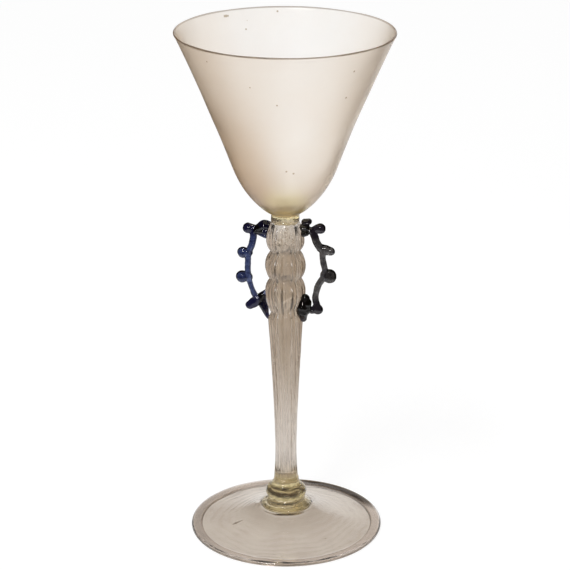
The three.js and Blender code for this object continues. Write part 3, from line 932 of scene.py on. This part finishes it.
class GOBLET_OT_foot(bpy.types.Operator):
    """Model the conical foot with its edge folded under"""

    bl_idname = "goblet.foot"
    bl_label = "Foot"

    def execute(self, context):
        sizes = context.scene.goblet_sizes
        hem = 2 * sizes.fold_wall + sizes.fold_gap
        inner = FOOT_RADIUS - sizes.fold_width
        underside = FOOT_TOP - sizes.foot_core
        rise = FOOT_TOP - hem
        reach = inner - FOOT_COLLAR_RADIUS
        edge = point(FOOT_RADIUS - hem / 2, hem / 2)
        fold_end = point(inner + sizes.fold_wall / 2, sizes.fold_wall / 2)

        def slope(start, end):
            return bend(
                start, point(FOOT_COLLAR_RADIUS + reach * 0.08, start.y - rise * 0.37),
                point(inner - reach / 2, end.y + rise * 0.09), end, 14)

        # The mark of the working rod under the foot's middle
        scar = point(4.5 * MM, underside)
        scar_radius = 0.5 * MM
        under = slope(
            point(FOOT_COLLAR_RADIUS - sizes.foot_wall, underside),
            point(inner, hem - sizes.fold_wall))
        top = slope(point(FOOT_COLLAR_RADIUS, FOOT_TOP), point(inner, hem))
        outline = [
            *flat(underside, 0, 2 * MM), scar - point(0.9 * MM, 0),
            *arc(scar, scar_radius, -150, -30, 4), scar + point(1 * MM, 0),
            point(8 * MM, underside),
            *under, *arc(edge, sizes.fold_gap / 2, 90, -90, 4),
            *arc(fold_end, sizes.fold_wall / 2, 90, 270, 6),
            *arc(edge, hem / 2, -90, 90, 10), *reversed(top),
            *flat(FOOT_TOP, 7 * MM, 3 * MM, 0)]
        piece = turn_piece("foot_glass", outline, WIDE_SIDES)
        settle(piece, "foot", GLASSES["foot"])
        return {"FINISHED"}


class GOBLET_OT_foot_collar(bpy.types.Operator):
    """Model the disc of greenish glass that joins the ring to the foot"""

    bl_idname = "goblet.foot_collar"
    bl_label = "Foot collar"

    def execute(self, context):
        sink = context.scene.goblet_sizes.sink
        low = FOOT_TOP - sink
        side = FOOT_COLLAR_RADIUS - 0.1 * MM
        lip = point(8.6 * MM, RING_BASE - 0.9 * MM)
        outline = [
            *flat(low, 0, side * 0.5, side - 0.6 * MM),
            point(side, low + 0.25 * MM), point(side - 0.15 * MM, low + 0.7 * MM),
            *bend(
                point(side - 0.9 * MM, low + 1.3 * MM), point(11 * MM, low + 2 * MM),
                point(9 * MM, low + 2 * MM), point(8.9 * MM, low + 2.9 * MM), 6),
            *arc(lip, 0.75 * MM, -40, 90, 6), *flat(RING_BASE, 8 * MM, 4 * MM, 0)]
        tilt = math.radians(3)
        piece = turn_piece("foot_collar_glass", outline, TURNED_SIDES, lambda height: (
            tilt if height > low + 2 * MM else 0.0))
        waver(piece, size=6 * MM, reach=0.25 * MM)
        waver(piece, size=2.6 * MM, reach=0.25 * MM)
        settle(piece, "foot_collar", GLASSES["collar"])
        return {"FINISHED"}


class GOBLET_OT_ring(bpy.types.Operator):
    """Model the round ring under the stem, drawn up to a neck"""

    bl_idname = "goblet.ring"
    bl_label = "Ring"

    def execute(self, context):
        sink = context.scene.goblet_sizes.sink
        low = RING_BASE - sink
        roll = 2.9 * MM
        centre = point(RING_RADIUS - roll, RING_BASE + roll * 0.93)
        body = arc(centre, roll, -66, 58, 12)
        end = body[-1]
        neck = bend(
            end, point(end.x - roll / 2, end.y + roll * 0.28),
            point(6.2 * MM, RING_BASE + 7.9 * MM), point(5.9 * MM, STEM_BASE), 9)
        outline = [
            *flat(low, 0, 4 * MM, body[0].x - 0.4 * MM), *body, *neck[1:],
            *flat(STEM_BASE + sink, 5.6 * MM, 5.2 * MM, 2 * MM, 0)]
        piece = turn_piece("stem_ring_glass", outline, TURNED_SIDES)
        waver(piece, size=7 * MM, reach=0.3 * MM)
        waver(piece, size=2.6 * MM, reach=0.45 * MM)
        settle(piece, "stem_ring", GLASSES["collar"])
        return {"FINISHED"}


def bulb_radius(widest, neck, share):
    """Radius of half a bulb, at a share of the way from its widest place to its neck."""
    return widest * math.sqrt(1 - (1 - (neck / widest) ** 2) * share ** 2)


STEM_HALVES = (
    (SHOULDER, SHOULDER_NECK, SHOULDER_RADIUS, SHOULDER_NECK_RADIUS),
    (LOWER_BULB, SHOULDER_NECK, LOWER_BULB_RADIUS, SHOULDER_NECK_RADIUS),
    (LOWER_BULB, LOWER_NECK, LOWER_BULB_RADIUS, LOWER_NECK_RADIUS),
    (MIDDLE_BULB, LOWER_NECK, MIDDLE_BULB_RADIUS, LOWER_NECK_RADIUS),
    (MIDDLE_BULB, MIDDLE_NECK, MIDDLE_BULB_RADIUS, MIDDLE_NECK_RADIUS),
    (UPPER_BULB, MIDDLE_NECK, UPPER_BULB_RADIUS, MIDDLE_NECK_RADIUS),
    (UPPER_BULB, STEM_TOP - STEM_BASE, UPPER_BULB_RADIUS, UPPER_NECK_RADIUS),
)


def stem_radius(height):
    """Outer radius of the stem at its rib crests, by height above its lower end."""
    if height < SHAFT_NARROW:
        share = 1 - height / SHAFT_NARROW
        return SHAFT_NARROW_RADIUS + (SHAFT_BASE_RADIUS - SHAFT_NARROW_RADIUS) * share ** 2
    if height < SHOULDER:
        share = (height - SHAFT_NARROW) / (SHOULDER - SHAFT_NARROW)
        return SHAFT_NARROW_RADIUS + (SHOULDER_RADIUS - SHAFT_NARROW_RADIUS) * share ** SHAFT_FLARE
    for widest, neck, radius, neck_radius in STEM_HALVES:
        if height <= max(widest, neck) + 1e-9:
            return bulb_radius(radius, neck_radius, (height - widest) / (neck - widest))
    return UPPER_NECK_RADIUS


def stem_heights(shaft_steps, half_steps):
    """Heights of the stem's rings, closer together on the bulbs."""
    heights = [SHOULDER * i / shaft_steps for i in range(shaft_steps)]
    for widest, neck, _, _ in STEM_HALVES:
        low, high = sorted((widest, neck))
        heights += [low + (high - low) * i / half_steps for i in range(half_steps)]
    return heights + [STEM_TOP - STEM_BASE]


def stem_slant(height, lean, reach=4.5 * MM):
    """Slant of the rings round the shoulder's neck, where the pinch isn't level."""
    away = (height - SHOULDER_NECK) / reach
    return lean * math.exp(-away ** 2)


class GOBLET_OT_stem(bpy.types.Operator):
    """Model the hollow ribbed stem: a long shaft and three bulbs"""

    bl_idname = "goblet.stem"
    bl_label = "Stem"

    def execute(self, context):
        sizes = context.scene.goblet_sizes
        sides = sizes.rib_count * SIDES_PER_RIB
        heights = stem_heights(shaft_steps=20, half_steps=6)
        outside = [point(stem_radius(h), STEM_BASE + h) for h in heights]
        outside[1:1] = [point(stem_radius(h), STEM_BASE + h) for h in (0.4 * MM, 1.6 * MM)]
        outside.append(outside[-1] + point(0, sizes.sink))
        first = outside[0]
        piece = start_ring("stem_glass", sides, first.x, first.y, "NOTHING")
        choose_open_edge()
        turn = slant = depth = 0.0
        previous = first
        for after in outside[1:]:
            draw_ring(previous, after, slant)
            height = after.y - STEM_BASE
            new_depth = sizes.rib_depth * self.rib_share(height, sizes)
            if new_depth != depth:
                self.change_ribs(piece, sizes, after.y, turn, depth, new_depth)
            depth = new_depth
            new_turn = sizes.rib_twist * min(max(height / SHOULDER, 0.0), 1.0)
            bpy.ops.transform.rotate(
                value=new_turn - turn, orient_axis="Z", center_override=(0, 0, after.y))
            turn, slant, previous = new_turn, stem_slant(height, sizes.neck_lean), after
            slant_ring(slant, after.y)
        self.close_end()
        choose_ring(piece, first.y)
        self.close_end()
        close_edit()
        piece = join([piece, self.make_bore(sizes)])
        waver(piece, size=9 * MM, reach=0.3 * MM)
        settle(piece, "stem", GLASSES["stem"])
        return {"FINISHED"}

    def close_end(self):
        """Closes the selected ring with a flat disc."""
        for share in (0.93, 0.5):
            bpy.ops.mesh.extrude_region_move(TRANSFORM_OT_translate={"value": (0, 0, 0)})
            bpy.ops.transform.resize(value=(share, share, 1), center_override=(0, 0, 0))
        bpy.ops.mesh.merge(type="CENTER")

    def make_bore(self, sizes):
        """The hollow that the blower left, drawn out to a point below and rounded off above."""
        low, high = 2 * MM, STEM_TOP - STEM_BASE - 0.5 * MM
        crown = 1.2 * MM
        heights = stem_heights(shaft_steps=20, half_steps=4)
        heights = [h for h in heights if low < h < high - 2 * crown]
        heights += [high - crown * share for share in (1.0, 0.5, 0.15, 0.0)]
        outline = [point(0, STEM_BASE + low)]
        for h in heights:
            taper = min(1.0, (h - low) / (SHOULDER - low)) ** 0.7
            rounding = 0.75 + 0.25 * min(1.0, (high - h) / crown)
            outline.append(
                point(stem_radius(h) * sizes.bore_share * taper * rounding, STEM_BASE + h))
        outline.append(point(0, STEM_BASE + high))
        bore = turn_piece("stem_bore", outline, 48, lambda level: (
            stem_slant(level - STEM_BASE, sizes.neck_lean)))
        bpy.ops.object.mode_set(mode="EDIT")
        bpy.ops.mesh.select_all(action="SELECT")
        bpy.ops.mesh.flip_normals()
        bpy.ops.object.mode_set(mode="OBJECT")
        return bore

    def rib_share(self, height, sizes):
        """How far the ribs stand out at a height: they run out at the stem's ends."""
        end = min(height, STEM_TOP - STEM_BASE - height)
        share = min(max(end / sizes.rib_fade, 0.0), 1.0)
        return share * share * (3 - 2 * share)

    def change_ribs(self, piece, sizes, level, turn, before, after):
        """Moves the valleys between the ribs of the ring at a level in or out."""
        for share in VALLEY_SHARES:
            def in_valley(place):
                angle = math.atan2(place.y, place.x) + turn
                valley = (1 - math.cos(sizes.rib_count * angle)) / 2
                return abs(place.z - level) < SAME_RING and abs(valley - share) < 0.15
            choose(piece, in_valley)
            inwards = (1 - after * share) / (1 - before * share)
            bpy.ops.transform.resize(value=(inwards, inwards, 1), center_override=(0, 0, 0))
        choose_ring(piece, level)


class GOBLET_OT_bowl_collar(bpy.types.Operator):
    """Model the greenish neck between the stem and the bowl"""

    bl_idname = "goblet.bowl_collar"
    bl_label = "Bowl collar"

    def execute(self, context):
        sink = context.scene.goblet_sizes.sink
        low, high = STEM_TOP, BOWL_BASE
        outline = [
            *flat(low, 0, 3.5 * MM, 6.3 * MM),
            *bend(
                point(6.65 * MM, low), point(7.1 * MM, low + 1.2 * MM),
                point(6.5 * MM, high - 1.6 * MM), point(6.85 * MM, high), 8),
            *flat(high + sink, 6.2 * MM, 3 * MM, 0)]
        piece = turn_piece("bowl_collar_glass", outline, TURNED_SIDES)
        waver(piece, size=5 * MM, reach=0.25 * MM)
        settle(piece, "bowl_collar", GLASSES["collar"])
        return {"FINISHED"}


def bowl_side(sizes, rim):
    """The bowl's outer side up to the rim: a round belly, then a cone that flares a little."""
    start = point(BOWL_NECK_RADIUS, BOWL_BASE)
    belly = point(sizes.belly_radius, BOWL_BASE + sizes.belly_height)
    start_pull = point(start.x + (belly.x - start.x) * 0.4, BOWL_BASE + sizes.belly_height * 0.18)
    # The flare is pulled towards the place where its slopes at the belly and at the rim cross
    across = rim.x - sizes.rim_slope * rim.y - belly.x + sizes.belly_slope * belly.y
    crossing = across / (sizes.belly_slope - sizes.rim_slope)
    pull = point(belly.x + sizes.belly_slope * (crossing - belly.y), crossing)
    belly_pull = belly - sizes.belly_height * 0.42 * point(sizes.belly_slope, 1)
    round_part = bend(start, start_pull, belly_pull, belly, 14)
    flare = bend(belly, belly.lerp(pull, 2 / 3), rim.lerp(pull, 2 / 3), rim, 12)
    return round_part + flare[1:]


def inner_side(outer, core, wall, thinned=20):
    """The side inside a wall, which thins from its core to its full run within some points."""
    inner = []
    for i, place in enumerate(outer):
        along = outer[min(i + 1, len(outer) - 1)] - outer[max(i - 1, 0)]
        across = point(-along.y, along.x).normalized()
        thinning = max(1 - i / thinned, 0.0) ** 2
        inner.append(place + (wall + (core - wall) * thinning) * across)
    return inner


class GOBLET_OT_bowl(bpy.types.Operator):
    """Model the thin flaring bowl"""

    bl_idname = "goblet.bowl"
    bl_label = "Bowl"

    def execute(self, context):
        sizes = context.scene.goblet_sizes
        base = BOWL_BASE - sizes.sink
        bead = sizes.rim_bead / 2
        lip = point(RIM_RADIUS - bead, RIM_HEIGHT - bead)
        outside = bowl_side(sizes, lip + point(0.1 * bead, -1.15 * bead))
        inside = self.fill_base(
            inner_side(outside, sizes.bowl_core, sizes.bowl_wall), math.tan(sizes.base_slope))
        outline = [
            *flat(base, 0, 3 * MM, 6.3 * MM), *outside,
            *arc(lip, bead, -50, 195, 7), *reversed(inside),
            point(0, 1.3 * inside[0].y - 0.3 * inside[1].y)]
        piece = turn_piece("bowl_glass", outline, WIDE_SIDES)
        self.lean_rim(piece, sizes.rim_lean)
        waver(piece, size=18 * MM, reach=0.35 * MM)
        self.keep_in_frame(piece)
        settle(piece, "bowl", GLASSES["bowl"])
        return {"FINISHED"}

    def fill_base(self, inside, slope, radius=9.5 * MM):
        """Makes the bottom of the inner side a shallow cone, where the gather stayed thick."""
        start = next(i for i, place in enumerate(inside) if place.x > radius)
        edge = inside[start]
        cone = [
            point(edge.x * share, edge.y - edge.x * (1 - share) * slope)
            for share in (0.2, 0.45, 0.7, 0.9)]
        return cone + inside[start:]

    def keep_in_frame(self, piece):
        """Draws the leaning bowl in until its rim is no wider or higher than the frame's."""
        reach = max(max(abs(v.co.x), abs(v.co.y)) for v in piece.data.vertices)
        top = max(v.co.z for v in piece.data.vertices)
        across = min(RIM_RADIUS / reach, 1.0)
        up = min((RIM_HEIGHT - BOWL_BASE) / (top - BOWL_BASE), 1.0)
        resize_whole((across, across, up), (0, 0, BOWL_BASE))

    def lean_rim(self, piece, angle):
        """Leans the bowl from a third of its height on, so that the rim drops on one side."""
        bpy.ops.object.mode_set(mode="EDIT")
        steps, lowest, run = 6, 0.35, 0.6
        for i in range(steps):
            level = BOWL_BASE + (RIM_HEIGHT - BOWL_BASE) * (lowest + run * i / steps)
            choose(piece, lambda place: place.z > level)
            slant_ring(-angle / steps, level)
        bpy.ops.object.mode_set(mode="OBJECT")


# The wings: places are steps of 1 mm out from the widest bulb and up from the shoulder's neck


def wing_place(side, out, up, depth):
    return Vector((
        side * (STEM_WIDEST + out * MM), depth * MM, STEM_BASE + SHOULDER_NECK + up * MM))


def add_strand(side, knots, depth=0.0, flatness=1.0):
    """A drawn strand of hot glass with round ends: each knot is a place and a radius."""
    bpy.ops.curve.primitive_bezier_curve_add(location=(0, 0, 0))
    strand = bpy.context.object
    curve = strand.data
    spline = curve.splines[0]
    if len(knots) > 2:
        spline.bezier_points.add(len(knots) - 2)
    for knot, (out, up, radius) in zip(spline.bezier_points, knots):
        knot.co = wing_place(side, out, up, depth)
        knot.handle_left_type = knot.handle_right_type = "AUTO"
        knot.radius = radius
    spline.resolution_u = 8
    curve.bevel_depth = MM
    curve.bevel_resolution = 4
    curve.use_fill_caps = True
    bpy.ops.object.convert(target="MESH")
    parts = [bpy.context.object]
    for out, up, radius in (knots[0], knots[-1]):
        bpy.ops.mesh.primitive_uv_sphere_add(
            segments=20, ring_count=12, radius=radius * MM,
            location=wing_place(side, out, up, depth))
        parts.append(bpy.context.object)
    whole = join(parts)
    bpy.ops.object.transform_apply(location=True, rotation=True, scale=True)
    resize_whole((1, flatness, 1), (0, depth * MM, 0))
    return whole


def join(parts):
    bpy.ops.object.select_all(action="DESELECT")
    for part in parts:
        part.select_set(True)
    bpy.context.view_layer.objects.active = parts[0]
    bpy.ops.object.join()
    return bpy.context.object


def melt_together(name, strands, voxel, smoothing):
    """Joins strands of hot glass into one skin and lets the creases between them soften."""
    piece = join(strands)
    piece.name = piece.data.name = name
    apply_modifier(piece, "REMESH", mode="VOXEL", voxel_size=voxel)
    apply_modifier(piece, "SMOOTH", factor=0.5, iterations=smoothing)
    return piece


def cut_to_stem(piece):
    """Cuts a piece where the stem's wall is, so that it sits on the ribs as melted glass does."""
    heights = stem_heights(shaft_steps=10, half_steps=4)
    seat = [point(stem_radius(h) * SEAT_SHARE, STEM_BASE + h) for h in heights]
    outline = [point(0, seat[0].y), *seat, *flat(BOWL_BASE, UPPER_NECK_RADIUS, 0)]
    cutter = turn_piece("stem_seat", outline, 64)
    apply_modifier(piece, "BOOLEAN", object=cutter, operation="DIFFERENCE", solver="EXACT")
    bpy.data.objects.remove(cutter)


# Each strand: places (out, up) and radius; a pad's strands also have their depth and flatness
WINGS = {
    "left": {
        "side": -1,
        "trail": (
            ((2.9, 38.8, 2.0), (5.1, 38.2, 1.8), (5.7, 34.9, 1.65), (6.3, 31.8, 1.7),
             (7.6, 28.4, 1.6), (8.3, 24.6, 1.5), (8.5, 21.0, 1.5), (8.5, 17.5, 1.5),
             (8.1, 14.0, 1.45), (7.3, 11.2, 1.3), (6.3, 8.5, 1.3), (5.2, 5.8, 1.45),
             (3.7, 4.1, 1.7)),
            ((4.9, 39.1, 2.2), (8.1, 39.4, 2.7)),
            ((7.8, 27.1, 1.8), (10.8, 27.1, 2.85)),
            ((8.4, 14.8, 2.3), (11.3, 14.8, 3.1)),
            ((7.7, 0.5, 2.2), (5.9, 1.8, 2.6), (3.9, 3.5, 2.4), (2.0, 5.5, 1.85),
             (0.0, 7.5, 1.35)),
        ),
        "upper_pad": (0.0, 1.15, (
            ((-1.9, 41.1, 2.2), (0.2, 41.4, 2.6), (2.7, 40.1, 2.1)),
            ((3.9, 38.6, 1.5), (1.7, 38.4, 1.7), (-0.8, 38.4, 1.9)),
            ((3.7, 37.6, 1.2), (1.7, 36.9, 1.4), (-0.4, 36.2, 1.4)),
        )),
        "lower_pad": (2.0, 1.5, (
            ((1.7, 4.0, 1.7), (1.8, 1.2, 2.1), (0.7, -1.6, 1.85), (-0.2, -4.4, 1.2),
             (-0.7, -6.0, 0.7)),
        )),
    },
    "right": {
        "side": 1,
        "trail": (
            ((0.2, 40.1, 1.7), (2.6, 40.0, 1.85), (4.1, 37.6, 1.85), (5.1, 34.9, 1.85),
             (6.5, 32.4, 1.9), (8.1, 30.4, 1.7), (8.1, 27.1, 1.5), (8.6, 24.1, 1.5),
             (9.2, 21.2, 1.5), (9.3, 18.1, 1.6), (7.7, 15.5, 1.6), (6.1, 12.6, 1.6),
             (5.1, 9.2, 1.6), (4.8, 5.6, 1.65), (5.3, 2.6, 1.7), (4.1, 0.2, 1.7),
             (1.7, 0.3, 1.8)),
            ((3.8, 40.2, 2.0), (5.5, 41.0, 2.35), (7.1, 41.4, 2.6)),
            ((7.2, 31.7, 2.2), (9.8, 30.9, 2.6), (11.9, 30.4, 2.2)),
            ((9.6, 18.3, 2.65), (11.5, 17.9, 3.5)),
            ((5.3, 1.4, 2.2), (5.9, 0.7, 2.65)),
        ),
        "upper_pad": (0.0, 1.5, (
            ((-0.6, 44.2, 1.5), (1.6, 44.4, 1.45)),
            ((-1.5, 41.5, 1.7), (0.6, 41.5, 1.6)),
            ((-1.0, 38.7, 1.9), (0.4, 39.0, 1.7)),
        )),
        "lower_pad": (-2.4, 1.05, (
            ((0.1, 6.6, 2.45), (-0.8, 2.5, 3.4), (-0.9, -0.8, 3.05), (-0.6, -3.6, 1.6)),
            ((0.8, 4.4, 2.65), (1.0, 0.9, 2.2)),
        )),
    },
}
LOBE_FLATNESS = 0.65
WING_VOXEL = 0.22 * MM
SEAT_SHARE = 0.965


class GOBLET_OT_wings(bpy.types.Operator):
    """Model the two wings: crimped pads on the stem and a pinched thread between them"""

    bl_idname = "goblet.wings"
    bl_label = "Wings"

    def execute(self, context):
        for name, wing in WINGS.items():
            thread, *lobes = wing["trail"]
            strands = [add_strand(wing["side"], thread)]
            strands += [
                add_strand(wing["side"], lobe, flatness=LOBE_FLATNESS) for lobe in lobes]
            self.make_piece(f"wing_{name}_trail", strands, 6, GLASSES[name])
            for level in ("upper_pad", "lower_pad"):
                depth, flatness, lumps = wing[level]
                strands = [add_strand(wing["side"], lump, depth, flatness) for lump in lumps]
                self.make_piece(f"wing_{name}_{level}", strands, 4, GLASSES[name])
        return {"FINISHED"}

    def make_piece(self, node, strands, smoothing, material):
        piece = melt_together(f"{node}_glass", strands, WING_VOXEL, smoothing)
        waver(piece, size=3 * MM, reach=0.35 * MM)
        cut_to_stem(piece)
        settle(piece, node, material, levels=0)


# The studio

# Cosines of the angle off the backdrop's middle: it is white within the first, and the room has
# taken its place past the others, in what glass mirrors and in what is seen through it
BACKDROP_WHITE = 0.95
BACKDROP_MIRRORED = 0.86
BACKDROP_THROUGH = 0.6

# The floor: its radius, the distances from the glass within which it is all white and from which
# it is as the room, its share of white for the light that falls on it, the same where it is seen,
# and its own glow there
FLOOR_RADIUS = 4
FLOOR_NEAR = 0.12
FLOOR_FAR = 0.32
FLOOR_LIT = 0.95
FLOOR_SEEN = 0.25
FLOOR_GLOW = 0.815

# Lamps: degrees to the left of the camera, degrees up, size, how many times as bright as white,
# and whether they show in the glass
LAMPS = (
    ("left_lamp", 40, 66, 0.25, 14, False),
    ("front_lamp", 22, 11, 0.3, 16, True),
    ("high_lamp", 22, 60, 0.14, 30, True),
)
LAMP_DISTANCE = 1.2
LAMP_AIM = Vector((0, 0, 0.13))
FILM_WIDTH = 36


def surroundings(tree, direction, studio, near=None):
    """What a ray meets beyond the glass: whether it counts as seen, and the colour of that.

    The backdrop stands behind the goblet and is white, and so is all that the camera sees. Past its
    sides the room is darker, as glass mirrors and bends it, and that gives glass its edges.
    """
    path = tree.nodes.new("ShaderNodeLightPath")
    camera, glossy = path.outputs["Is Camera Ray"], path.outputs["Is Glossy Ray"]
    through = path.outputs["Is Transmission Ray"]
    seen = calculate(tree, "MAXIMUM", calculate(tree, "MAXIMUM", camera, glossy), through)
    facing = studio.azimuth - studio.turn
    ahead = calculate_vector(
        tree, "DOT_PRODUCT", calculate_vector(tree, "NORMALIZE", direction)["Vector"],
        (-math.sin(facing), math.cos(facing), 0))["Value"]
    side = spread(tree, through, 0.0, 1.0, BACKDROP_MIRRORED, BACKDROP_THROUGH)
    backdrop = spread(tree, ahead, side, BACKDROP_WHITE)
    white = calculate(tree, "MAXIMUM", camera, backdrop)
    if near:
        white = calculate(tree, "MAXIMUM", white, near)
    room = blend_colours(
        tree, through, (*studio.room_mirrored, 1), (*studio.room_through, 1))
    return seen, blend_colours(tree, white, room, WHITE)


class GOBLET_OT_studio(bpy.types.Operator):
    """Set up the pale floor, the soft light and the camera"""

    bl_idname = "goblet.studio"
    bl_label = "Studio"

    def execute(self, context):
        studio = context.scene.goblet_studio
        self.make_floor(studio)
        self.make_world(context, studio)
        for name, left, up, size, radiance, shown in LAMPS:
            lamp = self.add_lamp(
                name, studio.azimuth - math.radians(left), math.radians(up), size, radiance)
            lamp.visible_glossy = lamp.visible_transmission = shown
        self.place_camera(context, studio)
        context.scene.view_settings.view_transform = "Standard"
        return {"FINISHED"}

    def make_floor(self, studio):
        bpy.ops.object.select_all(action="DESELECT")
        bpy.ops.mesh.primitive_circle_add(
            vertices=TURNED_SIDES, radius=FLOOR_RADIUS, fill_type="NGON")
        floor = bpy.context.object
        floor.name = floor.data.name = "pale_floor"
        material = bpy.data.materials.new("pale_floor")
        material.use_nodes = True
        tree = material.node_tree
        shader = tree.nodes["Principled BSDF"]
        shader.inputs["Roughness"].default_value = 0.9
        shader.inputs["Specular IOR Level"].default_value = 0.0
        place = tree.nodes.new("ShaderNodeTexCoord").outputs["Object"]
        away = calculate_vector(tree, "LENGTH", place)["Value"]
        near = spread(tree, away, FLOOR_NEAR, FLOOR_FAR, 1.0, 0.0)
        seen, colour = surroundings(tree, place, studio, near)
        share = spread(tree, seen, 0.0, 1.0, FLOOR_LIT, FLOOR_SEEN)
        plain = blend_colours(tree, seen, WHITE, colour)
        feed(tree, blend_colours(tree, share, BLACK, plain), shader.inputs["Base Color"])
        feed(tree, colour, shader.inputs["Emission Color"])
        glow = calculate(tree, "MULTIPLY", seen, FLOOR_GLOW)
        feed(tree, glow, shader.inputs["Emission Strength"])
        floor.data.materials.append(material)

    def make_world(self, context, studio):
        world = bpy.data.worlds.new("pale_studio")
        context.scene.world = world
        world.use_nodes = True
        tree = world.node_tree
        background = tree.nodes["Background"]
        direction = tree.nodes.new("ShaderNodeTexCoord").outputs["Generated"]
        seen, colour = surroundings(tree, direction, studio)
        feed(tree, blend_colours(tree, seen, WHITE, colour), background.inputs["Color"])
        strength = spread(tree, seen, 0.0, 1.0, studio.ambient, 1.0)
        feed(tree, strength, background.inputs["Strength"])

    def add_lamp(self, name, azimuth, elevation, size, radiance):
        """A square soft lamp that looks at the goblet, as bright as so many times white."""
        data = bpy.data.lights.new(name, "AREA")
        data.shape = "SQUARE"
        data.size = size
        data.energy = radiance * math.pi * size ** 2
        lamp = bpy.data.objects.new(name, data)
        bpy.context.scene.collection.objects.link(lamp)
        lamp.visible_camera = False
        away = Vector((
            math.sin(azimuth) * math.cos(elevation), -math.cos(azimuth) * math.cos(elevation),
            math.sin(elevation)))
        lamp.location = LAMP_AIM + LAMP_DISTANCE * away
        lamp.rotation_euler = away.to_track_quat("Z", "Y").to_euler()
        return lamp

    def place_camera(self, context, studio):
        data = bpy.data.cameras.new("studio_camera")
        data.lens = studio.lens
        data.sensor_width = FILM_WIDTH
        data.clip_start = 0.05
        camera = bpy.data.objects.new("studio_camera", data)
        context.scene.collection.objects.link(camera)
        away = Vector((math.sin(studio.azimuth), -math.cos(studio.azimuth), 0))
        right = Vector((math.cos(studio.azimuth), math.sin(studio.azimuth), 0))
        camera.location = (
            away * studio.distance - right * studio.aside + Vector((0, 0, studio.height)))
        aim = Euler((math.pi / 2 - studio.pitch, 0, studio.azimuth)).to_matrix()
        camera.rotation_euler = (aim @ Matrix.Rotation(studio.roll, 3, "Z")).to_euler()
        context.scene.camera = camera


class GOBLET_PT_pieces(bpy.types.Panel):
    """Lists the goblet's pieces, sizes and colours"""

    bl_label = "Winged Goblet"
    bl_idname = "GOBLET_PT_pieces"
    bl_space_type = "VIEW_3D"
    bl_region_type = "UI"
    bl_category = "Goblet"

    def draw(self, context):
        scene = context.scene
        for operator in OPERATORS:
            self.layout.operator(operator.bl_idname)
        for group in (scene.goblet_sizes, scene.goblet_glass, scene.goblet_studio):
            box = self.layout.box()
            for name in group.bl_rna.properties.keys():
                if name not in ("rna_type", "name"):
                    box.prop(group, name)


OPERATORS = (
    GOBLET_OT_studio,
    GOBLET_OT_glasses,
    GOBLET_OT_foot,
    GOBLET_OT_foot_collar,
    GOBLET_OT_ring,
    GOBLET_OT_stem,
    GOBLET_OT_bowl_collar,
    GOBLET_OT_bowl,
    GOBLET_OT_wings,
)
GROUPS = {
    "goblet_sizes": GobletSizes,
    "goblet_glass": GobletGlass,
    "goblet_studio": GobletStudio,
}
CLASSES = (*GROUPS.values(), *OPERATORS, GOBLET_PT_pieces)


def register():
    for kind in CLASSES:
        bpy.utils.register_class(kind)
    for name, kind in GROUPS.items():
        setattr(bpy.types.Scene, name, PointerProperty(type=kind))


def unregister():
    for name in GROUPS:
        delattr(bpy.types.Scene, name)
    for kind in reversed(CLASSES):
        bpy.utils.unregister_class(kind)


def main():
    register()
    bpy.ops.goblet.studio()
    bpy.ops.goblet.glasses()
    bpy.ops.goblet.foot()
    bpy.ops.goblet.foot_collar()
    bpy.ops.goblet.ring()
    bpy.ops.goblet.stem()
    bpy.ops.goblet.bowl_collar()
    bpy.ops.goblet.bowl()
    bpy.ops.goblet.wings()


if __name__ == "__main__":
    main()
